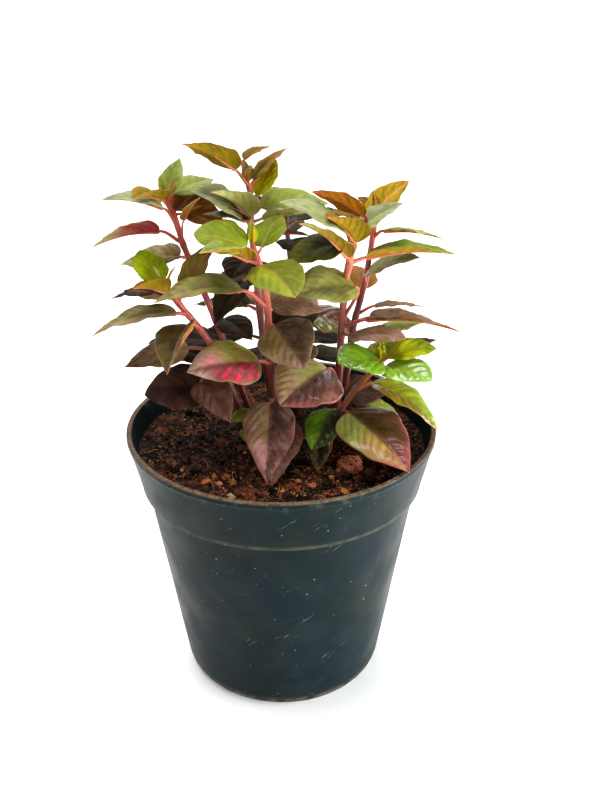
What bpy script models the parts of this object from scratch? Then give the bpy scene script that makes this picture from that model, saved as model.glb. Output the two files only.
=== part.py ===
# Potted alternanthera: a bushy foliage plant with opposite leaves, in a round nursery pot.
# Lengths are in millimetres and angles in degrees; MM turns lengths to metres.
# Origin at the middle of the pot's flat bottom, +Z up, -Y towards the viewer.
import math

import bmesh
import bpy
import numpy as np

MM = 0.001
GAP = 0.3

# Pot
POT_HEIGHT = 135.0
RIM_RADIUS = 75.0
LIP_WIDTH = 2.4
LIP_ROUND = 0.7
BEAD_HEIGHT = 3.0
BEAD_DEPTH = 0.5
BAND_DROP = 28.0
BAND_FOOT_RADIUS = 68.9
BAND_ROUND = 0.8
STEP_RADIUS = 66.3
STEP_SLOPE = 1.2
BODY_FOOT_RADIUS = 51.0
FOOT_RADIUS = 47.5
FOOT_CHAMFER = 5.0
FOOT_ROUND = 1.2
WALL = 1.7
FLOOR = 2.4
DRAIN_COUNT = 6
DRAIN_CIRCLE = 31.0
DRAIN_RADIUS = 4.5
DRAIN_SIDES = 12
DRAIN_TURN = 0.37
TURN_STEPS = 36

# Potting soil
SOIL_LEVEL = 124.0
SOIL_RINGS = 6
SOIL_SLOPE = 0.015
SOIL_EDGE_POWER = 6
LUMP_HEIGHT = 0.9
LUMP_SPAN = 5.7
CRUMB_HEIGHT = 0.5
CRUMB_SPAN = 3.4
STEM_FOOT = 98.0
HOLE_CLEARANCE = 0.45
STEM_COLLAR = 128.5

# Leaf blades and petioles
BLADE = 0.8
BLADE_ROW_LENGTH = 6.4
LEAST_ROWS = 3
MOST_ROWS = 7
BLADE_COLUMNS = 2
BLADE_END_WIDTH = 0.9
SHOULDER = 0.55
EDGE_WAVES = 2.2
EDGE_WAVE = 0.016
EDGE_PHASE = 1.9
FOLD_EASE = 0.25
MIDRIB_STEPS = 24
PETIOLE = 1.7
PETIOLE_TIP = 1.3
PETIOLE_POINT = 0.5
PETIOLE_STEPS = 2
PETIOLE_INSET = 3.0
PETIOLE_RISE = 0.4
PETIOLE_RUN = 0.3
APEX_LENGTH = 10.0
APEX_WIDTH = 5.0
APEX_PITCH = 62.0
APEX_DROP = 1.0
APEX_SHAPE = {"droop": 10, "fold": 20, "roll": 0, "taper": 1.0}

STEM_RESOLUTION = 1
PETIOLE_RESOLUTION = 0
STEM_SIDES = 4 + 2 * STEM_RESOLUTION
GOLDEN_TURN = 2.4
SHARP_ANGLE = 50.0
SOLVER = "MANIFOLD"

PLASTIC_COLOUR = (0.020, 0.033, 0.036)
SOIL_COLOUR = (0.035, 0.018, 0.010)
PLASTIC_ROUGHNESS = 0.42
SOIL_ROUGHNESS = 0.95
LEAF_ROUGHNESS = 0.5
LEAF_COLUMNS = (
    "height", "side", "reach", "lift", "heading", "pitch", "length", "width", "droop", "fold",
    "roll", "taper",
)

# A stem has its foot, its points above the soil, its thickness at foot and top, the heading of
# the youngest pair of leaves at its tip, and its leaves.
# A leaf has the height of its node, the side it leaves the stem on, the petiole's reach and
# lift, then the blade's heading, pitch, length, width, droop, fold, roll and taper.
STEMS = {
    "leafy_stem_front": {
        "foot": (-4, -3),
        "points": [
            (-4, -2, 150), (-5, -3, 174), (-6, -4, 199), (-8, -5, 214),
            (-11, -6, 222), (-12, -7, 228),
        ],
        "thick": (4.4, 2.6),
        "apex": 100,
        "colour": (0.20, 0.27, 0.05),
        "leaves": [
            (221, -130, 8, 45, 176, 14, 24, 28, 20, 12, 14, 0.7),
            (221, 20, 5, 55, 66, 28, 22, 19, 10, 15, 10, 1.0),
            (218, -130, 7, 23, -130, 20, 32, 19, 25, 40, 0, 1.1),
            (213, -90, 7, 45, -57, -13, 28, 26, 30, 12, -8, 0.8),
            (196, -142, 18, 40, -162, -2, 40, 26, 30, 22, 2, 1.1),
            (185, -62, 7, 35, -60, -22, 30, 27, 25, 10, -24, 1.0),
            (167, -125, 10.5, 30, -152, 3, 36, 30, 20, 4, 20, 1.0),
            (149, -97, 6, 8, -92, -35, 43, 25, 20, 12, 0, 1.2),
            (143, -58, 9, -6, -97, -25, 39, 22, 20, 10, 0, 1.1),
            (145, -142, 12, 5, -150, -14, 12, 11, 10, 10, 0, 0.8),
            (137, -152, 15, 0, -60, -30, 13, 9, 10, 10, 0, 1.1),
            (176, 40, 6, 10, 30, -10, 22, 16, 20, 10, 0, 1.0),
        ],
    },
    "leafy_stem_back_tall": {
        "foot": (-3, 15),
        "points": [
            (-8, 16, 160), (-12, 18, 205), (-14, 20, 231), (-13, 21, 240),
            (-15, 21, 248),
        ],
        "thick": (4.2, 2.2),
        "apex": 110,
        "colour": (0.28, 0.24, 0.05),
        "leaves": [
            (246, -155, 10, 52, -157, 29, 28, 22, 25, 16, -27, 1.1),
            (247, 150, 11, 80, 28, 18, 14, 10, 20, 25, 0, 1.1),
            (245, 20, 4, 50, 22, 40, 21, 22, 15, 15, 10, 1.1),
            (240, 0, 3, 30, 48, 48, 19, 14, 10, 12, 0, 0.8),
            (229, -100, 4, 50, -138, 36, 27, 22, 30, 40, -10, 1.1),
            (229, -140, 7, 40, -158, 30, 27, 24, 25, 20, 22, 1.1),
            (229, -120, 5, 30, -152, 30, 20, 21, 20, 10, -5, 1.1),
            (226, -130, 6, 50, -170, 12, 20, 12, 20, 15, 0, 1.1),
            (233, 20, 6, 28, 28, -5, 36, 20, 20, 12, -28, 1.0),
            (229, 0, 6, 20, -22, 14, 27, 12, 20, 25, 15, 1.1),
            (205, -130, 9, -10, -122, -32, 27, 17, 20, 20, 0, 1.1),
            (213, -120, 5, 10, -110, -10, 22, 18, 20, 15, 0, 1.0),
            (221, -30, 8, 20, -24, 8, 22, 14, 20, 25, 15, 1.1),
            (188, -10, 6, 20, -5, -6, 26, 20, 20, 10, -15, 1.0),
            (186, 150, 7, 15, 150, -10, 32, 20, 20, 10, 0, 1.1),
            (172, 165, 8, 10, 164, -10, 30, 22, 20, 10, 8, 1.0),
        ],
    },
    "leafy_stem_left_tall": {
        "foot": (-13, 8),
        "points": [
            (-21, 8, 154), (-32, 9, 188), (-40, 10, 209), (-45, 11, 222),
            (-48, 12, 234), (-51, 12, 242),
        ],
        "thick": (4.0, 2.2),
        "apex": -30,
        "colour": (0.27, 0.20, 0.08),
        "leaves": [
            (230, -150, 11, 55, -163, 12, 28, 20, 25, 22, 2, 1.1),
            (236, -150, 8, 54, -115, 15, 24, 17, 25, 38, 0, 1.0),
            (240, 180, 4, 80, 56, 55, 18, 14, 10, 10, 0, 1.0),
            (237, 80, 8, 55, 48, 4, 25, 17, 20, 12, -14, 1.0),
            (232, 100, 5, 55, 62, 10, 20, 21, 20, 20, -12, 1.1),
            (222, -60, 12, 75, -20, 52, 14, 10, 20, 25, 0, 1.1),
            (222, -163, 12, 33, -161, -8, 31, 19, 25, 43, -20, 1.2),
            (215, 130, 8, -10, 148, -16, 39, 18, 20, 12, 24, 1.1),
            (235, 20, 4, 0, 15, -16, 20, 20, 15, 34, -32, 0.9),
            (186, -40, 6, 10, -50, -10, 22, 16, 20, 10, -10, 1.0),
            (172, 165, 7, 15, 172, -6, 32, 22, 20, 10, 12, 1.0),
        ],
    },
    "leafy_stem_left_low": {
        "foot": (-15, -3),
        "points": [
            (-23, -4, 153), (-32, -5, 178), (-38, -6, 188), (-43, -7, 195),
            (-48, -8, 203), (-52, -9, 209),
        ],
        "thick": (4.0, 2.2),
        "apex": 0,
        "colour": (0.16, 0.10, 0.06),
        "leaves": [
            (200, 20, 6, 60, 30, 50, 27, 18, 15, 15, 65, 1.1),
            (154, 170, 10, 10, -168, -3, 32, 27, 20, 8, 27, 0.8),
            (158, -172, 13, 8, -53, -26, 27, 19, 20, 10, -5, 1.1),
            (175, 176, 12, 5, -168, -13, 31, 20, 20, 8, 18, 1.1),
            (187, -110, 8, 28, -116, -34, 27, 28, 20, 44, -26, 1.1),
            (194, -140, 6, 20, -168, -12, 40, 18, 35, 20, 2, 1.2),
            (200, 125, 7, 0, 160, 2, 24, 19, 20, 12, 0, 1.1),
            (204, 165, 8, 38, 130, 42, 18, 17, 15, 10, 0, 0.7),
            (204, -125, 4, 30, -135, 20, 19, 17, 20, 45, -20, 1.1),
            (201, 149, 12, 7, 160, -14, 24, 15, 20, 15, 0, 1.1),
            (166, 130, 7, 10, 140, -6, 30, 18, 20, 10, 8, 1.0),
        ],
    },
    "leafy_stem_right": {
        "foot": (25, 4),
        "points": [
            (27, 4, 142), (28, 2, 172), (29, 1, 196), (30, 0, 210),
            (32, 0, 219), (32, 0, 228),
        ],
        "thick": (4.4, 2.6),
        "apex": 90,
        "colour": (0.26, 0.19, 0.08),
        "leaves": [
            (225, -142, 9, 60, -163, 26, 33, 24, 20, 12, 12, 1.1),
            (219, -70, 9, 60, -124, 36, 30, 22, 20, 38, 0, 1.0),
            (224, 0, 8, 65, 3, 32, 23, 17, 20, 18, -12, 1.1),
            (216, -103, 7, 40, -138, 36, 36, 17, 25, 30, 2, 1.1),
            (226, 10, 13, 64, 178, 24, 26, 17, 20, 12, -40, 1.0),
            (187, -40, 20, 70, -158, 0, 28, 31, 20, 16, 14, 0.8),
            (214, -160, 12, 75, -165, -13, 26, 23, 20, 8, 12, 0.8),
            (216, 0, 8, 20, -9, 5, 40, 20, 20, 36, 8, 1.1),
            (184, -8, 12, 23, -3, -7, 45, 18, 25, 15, 20, 1.1),
            (184, 5, 14, 20, 10, -6, 30, 16, 20, 12, 0, 1.1),
            (181, -65, 10, 18, -35, 9, 29, 22, 20, 5, 0, 0.8),
            (156, -131, 12, 48, -134, -14, 33, 35, 20, 8, 20, 0.9),
        ],
    },
    "leafy_stem_right_back": {
        "foot": (30, 17),
        "points": [
            (32, 18, 152), (35, 18, 179), (37, 18, 188), (40, 18, 201),
            (43, 18, 224), (44, 18, 236),
        ],
        "thick": (4.0, 2.4),
        "apex": 70,
        "colour": (0.28, 0.20, 0.09),
        "leaves": [
            (232, 180, 3, 20, -5, 43, 24, 20, 15, 10, 45, 0.9),
            (234, 160, 3, 60, 150, 25, 9, 10, 15, 15, 0, 1.0),
            (226, 150, 6, 40, 150, 5, 20, 14, 20, 15, 0, 1.1),
            (222, -30, 7, 40, -4, -7, 28, 15, 20, 12, 15, 1.1),
            (200, -85, 7, 53, -34, 26, 31, 20, 20, 20, -15, 1.1),
            (184, -7, 10, 30, 12, -6, 25, 12, 20, 8, 10, 1.1),
            (171, 7, 14, 10, 12, 10, 24, 15, 20, 15, 0, 1.0),
            (163, 17, 20, -5, 24, 4, 29, 14, 20, 15, 0, 1.1),
            (141, -30, 12, -5, -20, -20, 20, 14, 20, 10, 0, 1.0),
            (144, -120, 3, 0, 2, -4, 22, 24, 20, 10, -15, 1.0),
            (192, 80, 7, 20, 95, 4, 30, 18, 20, 12, 0, 1.1),
            (166, 130, 7, 10, 140, -8, 30, 20, 20, 10, 0, 1.0),
        ],
    },
    "leafy_shoot_right_low": {
        "foot": (23, -9),
        "points": [
            (26, -9, 142), (35, -10, 158), (41, -14, 167), (46, -17, 175),
        ],
        "thick": (3.4, 2.2),
        "apex": -100,
        "colour": (0.16, 0.33, 0.05),
        "leaves": [
            (174, -90, 4, 36, -148, 11, 23.5, 26, 25, 8, 12, 0.8),
            (173, 54, 4, 20, 72, 10, 16, 18, 20, 8, 0, 0.8),
            (174, 15, 5, 28, 6, 9, 22, 20, 20, 20, -5, 0.8),
            (171, -50, 7, 26, -40, 0, 25, 24, 25, 8, -4, 0.8),
            (157, -3, 9, 24, -27, -27, 39, 19, 50, 18, 0, 1.1),
            (145, -62, 9, 24, -55, -14, 46, 30, 24, 8, -10, 1.0),
            (145, -150, 4, 35, -117, -25, 25, 18, 15, 10, 6, 0.8),
            (131, -130, 8, 15, -95, -25, 18, 11, 10, 28, 0, 1.0),
        ],
    },
    "leafy_stem_rear": {
        "foot": (7, 30),
        "points": [
            (6, 33, 164), (5, 36, 198), (3, 37, 218), (2, 38, 228),
        ],
        "thick": (4.0, 2.2),
        "apex": 60,
        "colour": (0.10, 0.09, 0.05),
        "leaves": [
            (226, -160, 6, 40, 170, 10, 30, 18, 20, 15, 0, 1.1),
            (222, 15, 6, 30, 5, 2, 30, 18, 20, 15, 0, 1.1),
            (214, 100, 6, 30, 95, 5, 34, 20, 20, 12, 0, 1.1),
            (214, -80, 6, 30, -75, 0, 30, 19, 20, 12, 0, 1.1),
            (178, -20, 8, 5, -12, -16, 26, 20, 20, 10, -20, 1.0),
            (196, 180, 8, 20, -177, -8, 34, 22, 20, 10, 15, 1.0),
            (163, -80, 7, 10, -90, -14, 26, 22, 20, 10, -10, 1.0),
            (176, 80, 7, 10, 85, -10, 36, 22, 20, 10, 0, 1.1),
            (156, 0, 8, 0, 20, -14, 36, 23, 20, 10, 0, 1.1),
            (156, 180, 8, 0, 165, -14, 36, 23, 20, 10, 0, 1.1),
            (180, 150, 8, 10, 142, -6, 34, 23, 20, 10, 0, 1.0),
            (184, -95, 8, 8, -84, -14, 28, 24, 20, 10, 0, 1.0),
        ],
    },
}


def heading_vector(heading, pitch):
    """Unit vector at a heading around Z from +X and a pitch above the horizontal."""
    turn = math.radians(heading)
    rise = math.radians(pitch)
    return np.array([
        math.cos(turn) * math.cos(rise),
        math.sin(turn) * math.cos(rise),
        math.sin(rise),
    ])


def clear_scene():
    for obj in list(bpy.data.objects):
        bpy.data.objects.remove(obj, do_unlink=True)


def make_collection(name, hidden=False):
    collection = bpy.data.collections.new(name)
    collection.hide_render = hidden
    bpy.context.scene.collection.children.link(collection)
    return collection


def make_material(name, colour, roughness):
    material = bpy.data.materials.new(name)
    material.use_nodes = True
    shader = material.node_tree.nodes["Principled BSDF"]
    shader.inputs["Base Color"].default_value = (*colour, 1.0)
    shader.inputs["Roughness"].default_value = roughness
    shader.inputs["Metallic"].default_value = 0.0
    material.diffuse_color = (*colour, 1.0)
    return material


def object_from_bmesh(name, bm, collection):
    mesh = bpy.data.meshes.new(name)
    bm.to_mesh(mesh)
    bm.free()
    obj = bpy.data.objects.new(name, mesh)
    collection.objects.link(obj)
    return obj


def evaluated_mesh(obj):
    """The object's mesh with its modifiers applied."""
    depsgraph = bpy.context.evaluated_depsgraph_get()
    depsgraph.update()
    return bpy.data.meshes.new_from_object(obj.evaluated_get(depsgraph), depsgraph=depsgraph)


def apply_modifiers(obj):
    mesh = evaluated_mesh(obj)
    old = obj.data
    obj.modifiers.clear()
    obj.data = mesh
    bpy.data.meshes.remove(old)


def shade_round(obj):
    obj.data.shade_smooth()
    obj.data.set_sharp_from_angle(angle=math.radians(SHARP_ANGLE))


def turned(name, profile, collection):
    """Solid of revolution around Z from a profile that runs top to bottom on its outer side."""
    bm = bmesh.new()
    verts = [bm.verts.new((radius * MM, 0.0, height * MM)) for radius, height in profile]
    for start, end in zip(verts, verts[1:]):
        bm.edges.new((start, end))
    obj = object_from_bmesh(name, bm, collection)
    screw = obj.modifiers.new("Turn", "SCREW")
    screw.angle = math.tau
    screw.steps = TURN_STEPS
    screw.render_steps = TURN_STEPS
    screw.use_merge_vertices = True
    screw.merge_threshold = 0.0001
    screw.use_smooth_shade = True
    return obj


def cylinder(name, radius, bottom, top, x, y, sides, collection):
    """Upright closed cylinder between two heights."""
    bm = bmesh.new()
    bmesh.ops.create_cone(
        bm,
        cap_ends=True,
        segments=sides,
        radius1=radius * MM,
        radius2=radius * MM,
        depth=(top - bottom) * MM,
    )
    obj = object_from_bmesh(name, bm, collection)
    obj.location = (x * MM, y * MM, (top + bottom) / 2 * MM)
    return obj


def mark_cutter(obj):
    obj.hide_render = True
    obj.display_type = "WIRE"


def cut(obj, cutter):
    modifier = obj.modifiers.new("Cut", "BOOLEAN")
    modifier.operation = "DIFFERENCE"
    modifier.object = cutter


def tube(name, points, radii, resolution, collection):
    """Round rod along a list of points, with its own radius at each, as a closed mesh."""
    curve = bpy.data.curves.new(name, "CURVE")
    curve.dimensions = "3D"
    curve.bevel_depth = MM
    curve.bevel_resolution = resolution
    curve.use_fill_caps = True
    spline = curve.splines.new("POLY")
    spline.points.add(len(points) - 1)
    for knot, point, radius in zip(spline.points, points, radii):
        knot.co = (*(np.array(point) * MM), 1.0)
        knot.radius = radius
    rod = bpy.data.objects.new(name + "_curve", curve)
    collection.objects.link(rod)
    mesh = evaluated_mesh(rod)
    bm = bmesh.new()
    bm.from_mesh(mesh)
    bmesh.ops.remove_doubles(bm, verts=bm.verts, dist=0.00001)
    bpy.data.meshes.remove(mesh)
    obj = object_from_bmesh(name, bm, collection)
    obj.matrix_world = rod.matrix_world
    bpy.data.objects.remove(rod, do_unlink=True)
    return obj


def pot_inner_radius(height):
    """Radius of the pot's inner wall at a height."""
    step_top = POT_HEIGHT - BAND_DROP
    step_bottom = step_top - STEP_SLOPE
    rim = RIM_RADIUS - LIP_WIDTH
    heights = [FOOT_CHAMFER, step_bottom, step_top + WALL, POT_HEIGHT]
    radii = [BODY_FOOT_RADIUS - WALL, STEP_RADIUS - WALL, BAND_FOOT_RADIUS - WALL, rim]
    return float(np.interp(height, heights, radii))


def make_pot(collection, cutters, material):
    """Thin-walled pot with a wide rim band, a step below it and drain holes in its floor."""
    step_top = POT_HEIGHT - BAND_DROP
    step_bottom = step_top - STEP_SLOPE
    profile = [
        (0.0, FLOOR),
        (FOOT_RADIUS - WALL, FLOOR),
        (pot_inner_radius(FOOT_CHAMFER + FLOOR), FOOT_CHAMFER + FLOOR),
        (pot_inner_radius(step_bottom), step_bottom),
        (pot_inner_radius(step_top + WALL), step_top + WALL),
        (RIM_RADIUS - LIP_WIDTH, POT_HEIGHT - LIP_ROUND),
        (RIM_RADIUS - LIP_WIDTH + LIP_ROUND, POT_HEIGHT),
        (RIM_RADIUS - LIP_ROUND, POT_HEIGHT),
        (RIM_RADIUS, POT_HEIGHT - LIP_ROUND),
        (RIM_RADIUS - BEAD_DEPTH, POT_HEIGHT - BEAD_HEIGHT),
        (BAND_FOOT_RADIUS, step_top + BAND_ROUND),
        (BAND_FOOT_RADIUS - BAND_ROUND, step_top),
        (STEP_RADIUS, step_bottom),
        (BODY_FOOT_RADIUS, FOOT_CHAMFER + FOOT_ROUND),
        (BODY_FOOT_RADIUS - FOOT_ROUND, FOOT_CHAMFER / 2),
        (FOOT_RADIUS, 0.0),
        (0.0, 0.0),
    ]
    pot = turned("pot", profile, collection)
    for index in range(DRAIN_COUNT):
        angle = math.tau * (index + DRAIN_TURN) / DRAIN_COUNT
        x = DRAIN_CIRCLE * math.cos(angle)
        y = DRAIN_CIRCLE * math.sin(angle)
        hole = cylinder(
            f"drain_cutter_{index}", DRAIN_RADIUS, -FLOOR, 2 * FLOOR, x, y, DRAIN_SIDES, cutters
        )
        mark_cutter(hole)
        cut(pot, hole)
    pot.data.materials.append(material)
    return pot


def soil_rise(x, y):
    """Rise of the soil above its level: lumps on a surface that sinks a little to the back left."""
    lumps = math.sin(x / LUMP_SPAN + 1) * math.cos(y / LUMP_SPAN + 0.5)
    crumbs = math.sin((x + y) / CRUMB_SPAN) * math.sin((y - x) / CRUMB_SPAN + 2)
    return SOIL_SLOPE * (x - y) + LUMP_HEIGHT * lumps + CRUMB_HEIGHT * crumbs


def make_soil(collection, cutters, material):
    """Soil that fills the pot, with a lumpy top and a plain hole for each stem."""
    step_top = POT_HEIGHT - BAND_DROP
    step_bottom = step_top - STEP_SLOPE
    top_radius = pot_inner_radius(SOIL_LEVEL) - GAP
    profile = [(top_radius * ring / SOIL_RINGS, SOIL_LEVEL) for ring in range(SOIL_RINGS + 1)]
    profile += [
        (pot_inner_radius(step_top + WALL) - GAP, step_top + WALL + GAP),
        (pot_inner_radius(step_bottom) - GAP, step_bottom),
        (pot_inner_radius(FOOT_CHAMFER + FLOOR) - GAP, FOOT_CHAMFER + FLOOR + GAP),
        (FOOT_RADIUS - WALL - 2 * GAP, FLOOR + GAP),
        (0.0, FLOOR + GAP),
    ]
    soil = turned("potting_soil", profile, collection)
    apply_modifiers(soil)
    for vert in soil.data.vertices:
        x, y, z = (value / MM for value in vert.co)
        if z > SOIL_LEVEL - GAP:
            inside = 1.0 - (math.hypot(x, y) / top_radius) ** SOIL_EDGE_POWER
            vert.co.z += soil_rise(x, y) * inside * MM
    for name, stem in STEMS.items():
        x, y = stem["foot"]
        radius = stem["thick"][0] / 2 + HOLE_CLEARANCE
        hole = cylinder(
            f"{name}_hole", radius, STEM_FOOT - GAP, POT_HEIGHT, x, y, STEM_SIDES, cutters
        )
        mark_cutter(hole)
        cut(soil, hole)
    soil.data.materials.append(material)
    return soil


def stem_point(stem, height):
    """Point on the stem's centre line at a height."""
    line = np.array(stem_line(stem), float)
    return np.array([
        np.interp(height, line[:, 2], line[:, 0]),
        np.interp(height, line[:, 2], line[:, 1]),
        height,
    ])


def stem_line(stem):
    x, y = stem["foot"]
    return [(x, y, STEM_FOOT), (x, y, STEM_COLLAR), *stem["points"]]


def half_width(along, width, taper):
    """Half the blade's width at a share of its length: a blunt base and a drawn-out tip."""
    widest = SHOULDER / (SHOULDER + taper)
    rise = (along / widest) ** SHOULDER
    fall = max((1 - along) / (1 - widest), 0.0) ** taper
    return max(width / 2 * rise * fall, BLADE_END_WIDTH / 2)


def midrib_point(base, leaf, along):
    """Point and direction on the midrib, which bends down along its length."""
    point = np.array(base)
    stride = leaf["length"] * along / MIDRIB_STEPS
    for step in range(MIDRIB_STEPS):
        share = along * (step + 0.5) / MIDRIB_STEPS
        pitch = leaf["pitch"] + leaf["droop"] * (0.5 - share)
        point = point + heading_vector(leaf["heading"], pitch) * stride
    pitch = leaf["pitch"] + leaf["droop"] * (0.5 - along)
    return point, heading_vector(leaf["heading"], pitch)


def blade_point(base, leaf, along, across):
    """Point of the blade at a share of its length and, from -1 to 1, of its half width."""
    centre, forward = midrib_point(base, leaf, along)
    turn = math.radians(leaf["heading"])
    side = np.array([math.sin(turn), -math.cos(turn), 0.0])
    up = np.cross(side, forward)
    roll = math.radians(leaf["roll"])
    side, up = (
        math.cos(roll) * side + math.sin(roll) * up,
        math.cos(roll) * up - math.sin(roll) * side,
    )
    reach = abs(across) * half_width(along, leaf["width"], leaf["taper"])
    fold = math.radians(leaf["fold"] * (1 - FOLD_EASE * abs(across)))
    swing = math.sin(math.tau * EDGE_WAVES * along + EDGE_PHASE * np.sign(across) + leaf["phase"])
    wave = EDGE_WAVE * leaf["length"] * swing * abs(across) * math.sin(math.pi * along)
    outward = np.sign(across) * reach * math.cos(fold)
    return centre + side * outward + up * (reach * math.sin(fold) + wave)


def make_blade(name, base, leaf, collection):
    """Thin leaf blade: a grid shaped by the leaf's own formula, thickened on both sides."""
    bm = bmesh.new()
    rows = min(max(round(leaf["length"] / BLADE_ROW_LENGTH), LEAST_ROWS), MOST_ROWS)
    bmesh.ops.create_grid(bm, x_segments=rows, y_segments=BLADE_COLUMNS, size=1.0)
    for vert in bm.verts:
        along = (vert.co.x + 1) / 2
        across = vert.co.y
        vert.co = blade_point(base, leaf, along, across) * MM
    bmesh.ops.triangulate(bm, faces=bm.faces)
    obj = object_from_bmesh(name, bm, collection)
    shell = obj.modifiers.new("Thickness", "SOLIDIFY")
    shell.thickness = BLADE * MM
    shell.offset = 0.0
    return obj


def make_petiole(name, start, base, leaf, collection):
    """Curved stalk from the stem's middle to just inside the blade, along its midrib."""
    inside, forward = midrib_point(base, leaf, PETIOLE_INSET / leaf["length"])
    first = start + heading_vector(leaf["side"], leaf["lift"]) * PETIOLE_RISE * leaf["reach"]
    second = base - forward * PETIOLE_RUN * leaf["reach"]
    points = []
    for step in range(PETIOLE_STEPS + 1):
        t = step / PETIOLE_STEPS
        points.append(
            (1 - t) ** 3 * start
            + 3 * (1 - t) ** 2 * t * first
            + 3 * (1 - t) * t**2 * second
            + t**3 * base
        )
    points.append(inside)
    radii = [*np.linspace(PETIOLE / 2, PETIOLE_TIP / 2, PETIOLE_STEPS + 1), PETIOLE_POINT / 2]
    return tube(name, points, radii, PETIOLE_RESOLUTION, collection)


def apex_leaf(stem, heading):
    """One of the youngest pair: a small upright leaf at the stem's tip."""
    return {
        "height": stem["points"][-1][2] - APEX_DROP,
        "side": heading,
        "reach": APEX_DROP,
        "lift": APEX_PITCH,
        "heading": heading,
        "pitch": APEX_PITCH,
        "length": APEX_LENGTH,
        "width": APEX_WIDTH,
        **APEX_SHAPE,
    }


def stem_leaves(stem):
    """Every leaf of a stem by name of its values, with the youngest pair last."""
    leaves = [dict(zip(LEAF_COLUMNS, row)) for row in stem["leaves"]]
    leaves += [apex_leaf(stem, stem["apex"]), apex_leaf(stem, stem["apex"] + 180)]
    for index, leaf in enumerate(leaves):
        leaf["phase"] = GOLDEN_TURN * index
    return leaves


def make_leafy_stem(name, stem, collection, material):
    """One stem with all its leaves, fused into a single solid."""
    line = stem_line(stem)
    radii = np.linspace(stem["thick"][0] / 2, stem["thick"][1] / 2, len(line))
    node = tube(name, line, radii, STEM_RESOLUTION, collection)
    pieces = make_collection(name + "_pieces", hidden=True)
    for index, leaf in enumerate(stem_leaves(stem)):
        start = stem_point(stem, leaf["height"])
        base = start + leaf["reach"] * heading_vector(leaf["side"], leaf["lift"])
        make_petiole(f"{name}_petiole_{index}", start, base, leaf, pieces)
        make_blade(f"{name}_blade_{index}", base, leaf, pieces)
    union = node.modifiers.new("Fuse", "BOOLEAN")
    union.operation = "UNION"
    union.operand_type = "COLLECTION"
    union.collection = pieces
    union.solver = SOLVER
    apply_modifiers(node)
    for piece in list(pieces.objects):
        bpy.data.objects.remove(piece, do_unlink=True)
    bpy.data.collections.remove(pieces)
    shade_round(node)
    node.data.materials.clear()
    node.data.materials.append(material)
    return node


def build():
    clear_scene()
    parts = make_collection("potted_alternanthera")
    cutters = make_collection("cutters", hidden=True)
    plastic = make_material("pot_plastic", PLASTIC_COLOUR, PLASTIC_ROUGHNESS)
    earth = make_material("potting_soil", SOIL_COLOUR, SOIL_ROUGHNESS)
    make_pot(parts, cutters, plastic)
    make_soil(parts, cutters, earth)
    for name, stem in STEMS.items():
        foliage = make_material(name, stem["colour"], LEAF_ROUGHNESS)
        make_leafy_stem(name, stem, parts, foliage)


build()
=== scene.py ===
# Potted alternanthera: fine leaves, stems, soil and pot, set around the imported solids.
# Sizes in the dictionaries are in millimetres and degrees, and colours given as on screen, 0 to 255.
# The studio's places, lamps and floor are in metres, and the colours of its lights run from 0 to 1.
import math

import bmesh
import bpy
import numpy as np
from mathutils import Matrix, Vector, noise


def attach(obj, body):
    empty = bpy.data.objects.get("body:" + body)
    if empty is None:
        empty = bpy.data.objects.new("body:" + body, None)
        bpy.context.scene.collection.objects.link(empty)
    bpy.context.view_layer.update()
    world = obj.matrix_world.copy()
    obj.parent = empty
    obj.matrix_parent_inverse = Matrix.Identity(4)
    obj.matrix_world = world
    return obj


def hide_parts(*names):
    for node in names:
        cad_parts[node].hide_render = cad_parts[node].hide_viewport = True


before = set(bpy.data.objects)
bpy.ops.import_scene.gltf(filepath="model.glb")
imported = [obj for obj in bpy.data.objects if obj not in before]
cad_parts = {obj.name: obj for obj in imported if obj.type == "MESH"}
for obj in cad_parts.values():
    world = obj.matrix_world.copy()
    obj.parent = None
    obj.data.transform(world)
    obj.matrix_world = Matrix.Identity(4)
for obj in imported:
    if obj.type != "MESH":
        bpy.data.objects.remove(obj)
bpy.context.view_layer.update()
mm = 0.001
print("solids loaded:", len(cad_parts))


# Helpers for colours and material nodes

def screenColour(colour):
    linear = []
    for value in colour:
        share = value / 255
        linear.append(share / 12.92 if share < 0.04045 else ((share + 0.055) / 1.055) ** 2.4)
    return np.array(linear)


def isSocket(value):
    return isinstance(value, bpy.types.NodeSocket)


def plug(socket, value):
    if isSocket(value):
        value.id_data.links.new(value, socket)
    elif isinstance(value, tuple) and socket.type == "RGBA":
        socket.default_value = (*screenColour(value), 1.0)
    else:
        socket.default_value = value


def addNode(kind, sockets, **settings):
    # the node goes into the tree of the first socket that feeds it
    tree = next(value.id_data for value in sockets.values() if isSocket(value))
    made = tree.nodes.new(kind)
    for name, value in settings.items():
        setattr(made, name, value)
    for name, value in sockets.items():
        plug(made.inputs[name], value)
    return made.outputs


def newMaterial(name):
    material = bpy.data.materials.new(name)
    material.use_nodes = True
    return material, material.node_tree.nodes.new("ShaderNodeTexCoord").outputs["Object"]


def setShader(material, sockets):
    shader = material.node_tree.nodes["Principled BSDF"]
    for name, value in sockets.items():
        plug(shader.inputs[name], value)
    return material


def mixColour(share, first, second, way="MIX"):
    sockets = {0: share, 6: first, 7: second}
    return addNode("ShaderNodeMix", sockets, data_type="RGBA", blend_type=way)[2]


def sums(operation, first, second=0.0):
    return addNode("ShaderNodeMath", {0: first, 1: second}, operation=operation)[0]


def times(first, *others):
    for other in others:
        first = sums("MULTIPLY", first, other)
    return first


def plus(first, second):
    return sums("ADD", first, second)


def minus(first, second):
    return sums("SUBTRACT", first, second)


def larger(first, second):
    return sums("MAXIMUM", first, second)


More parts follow.
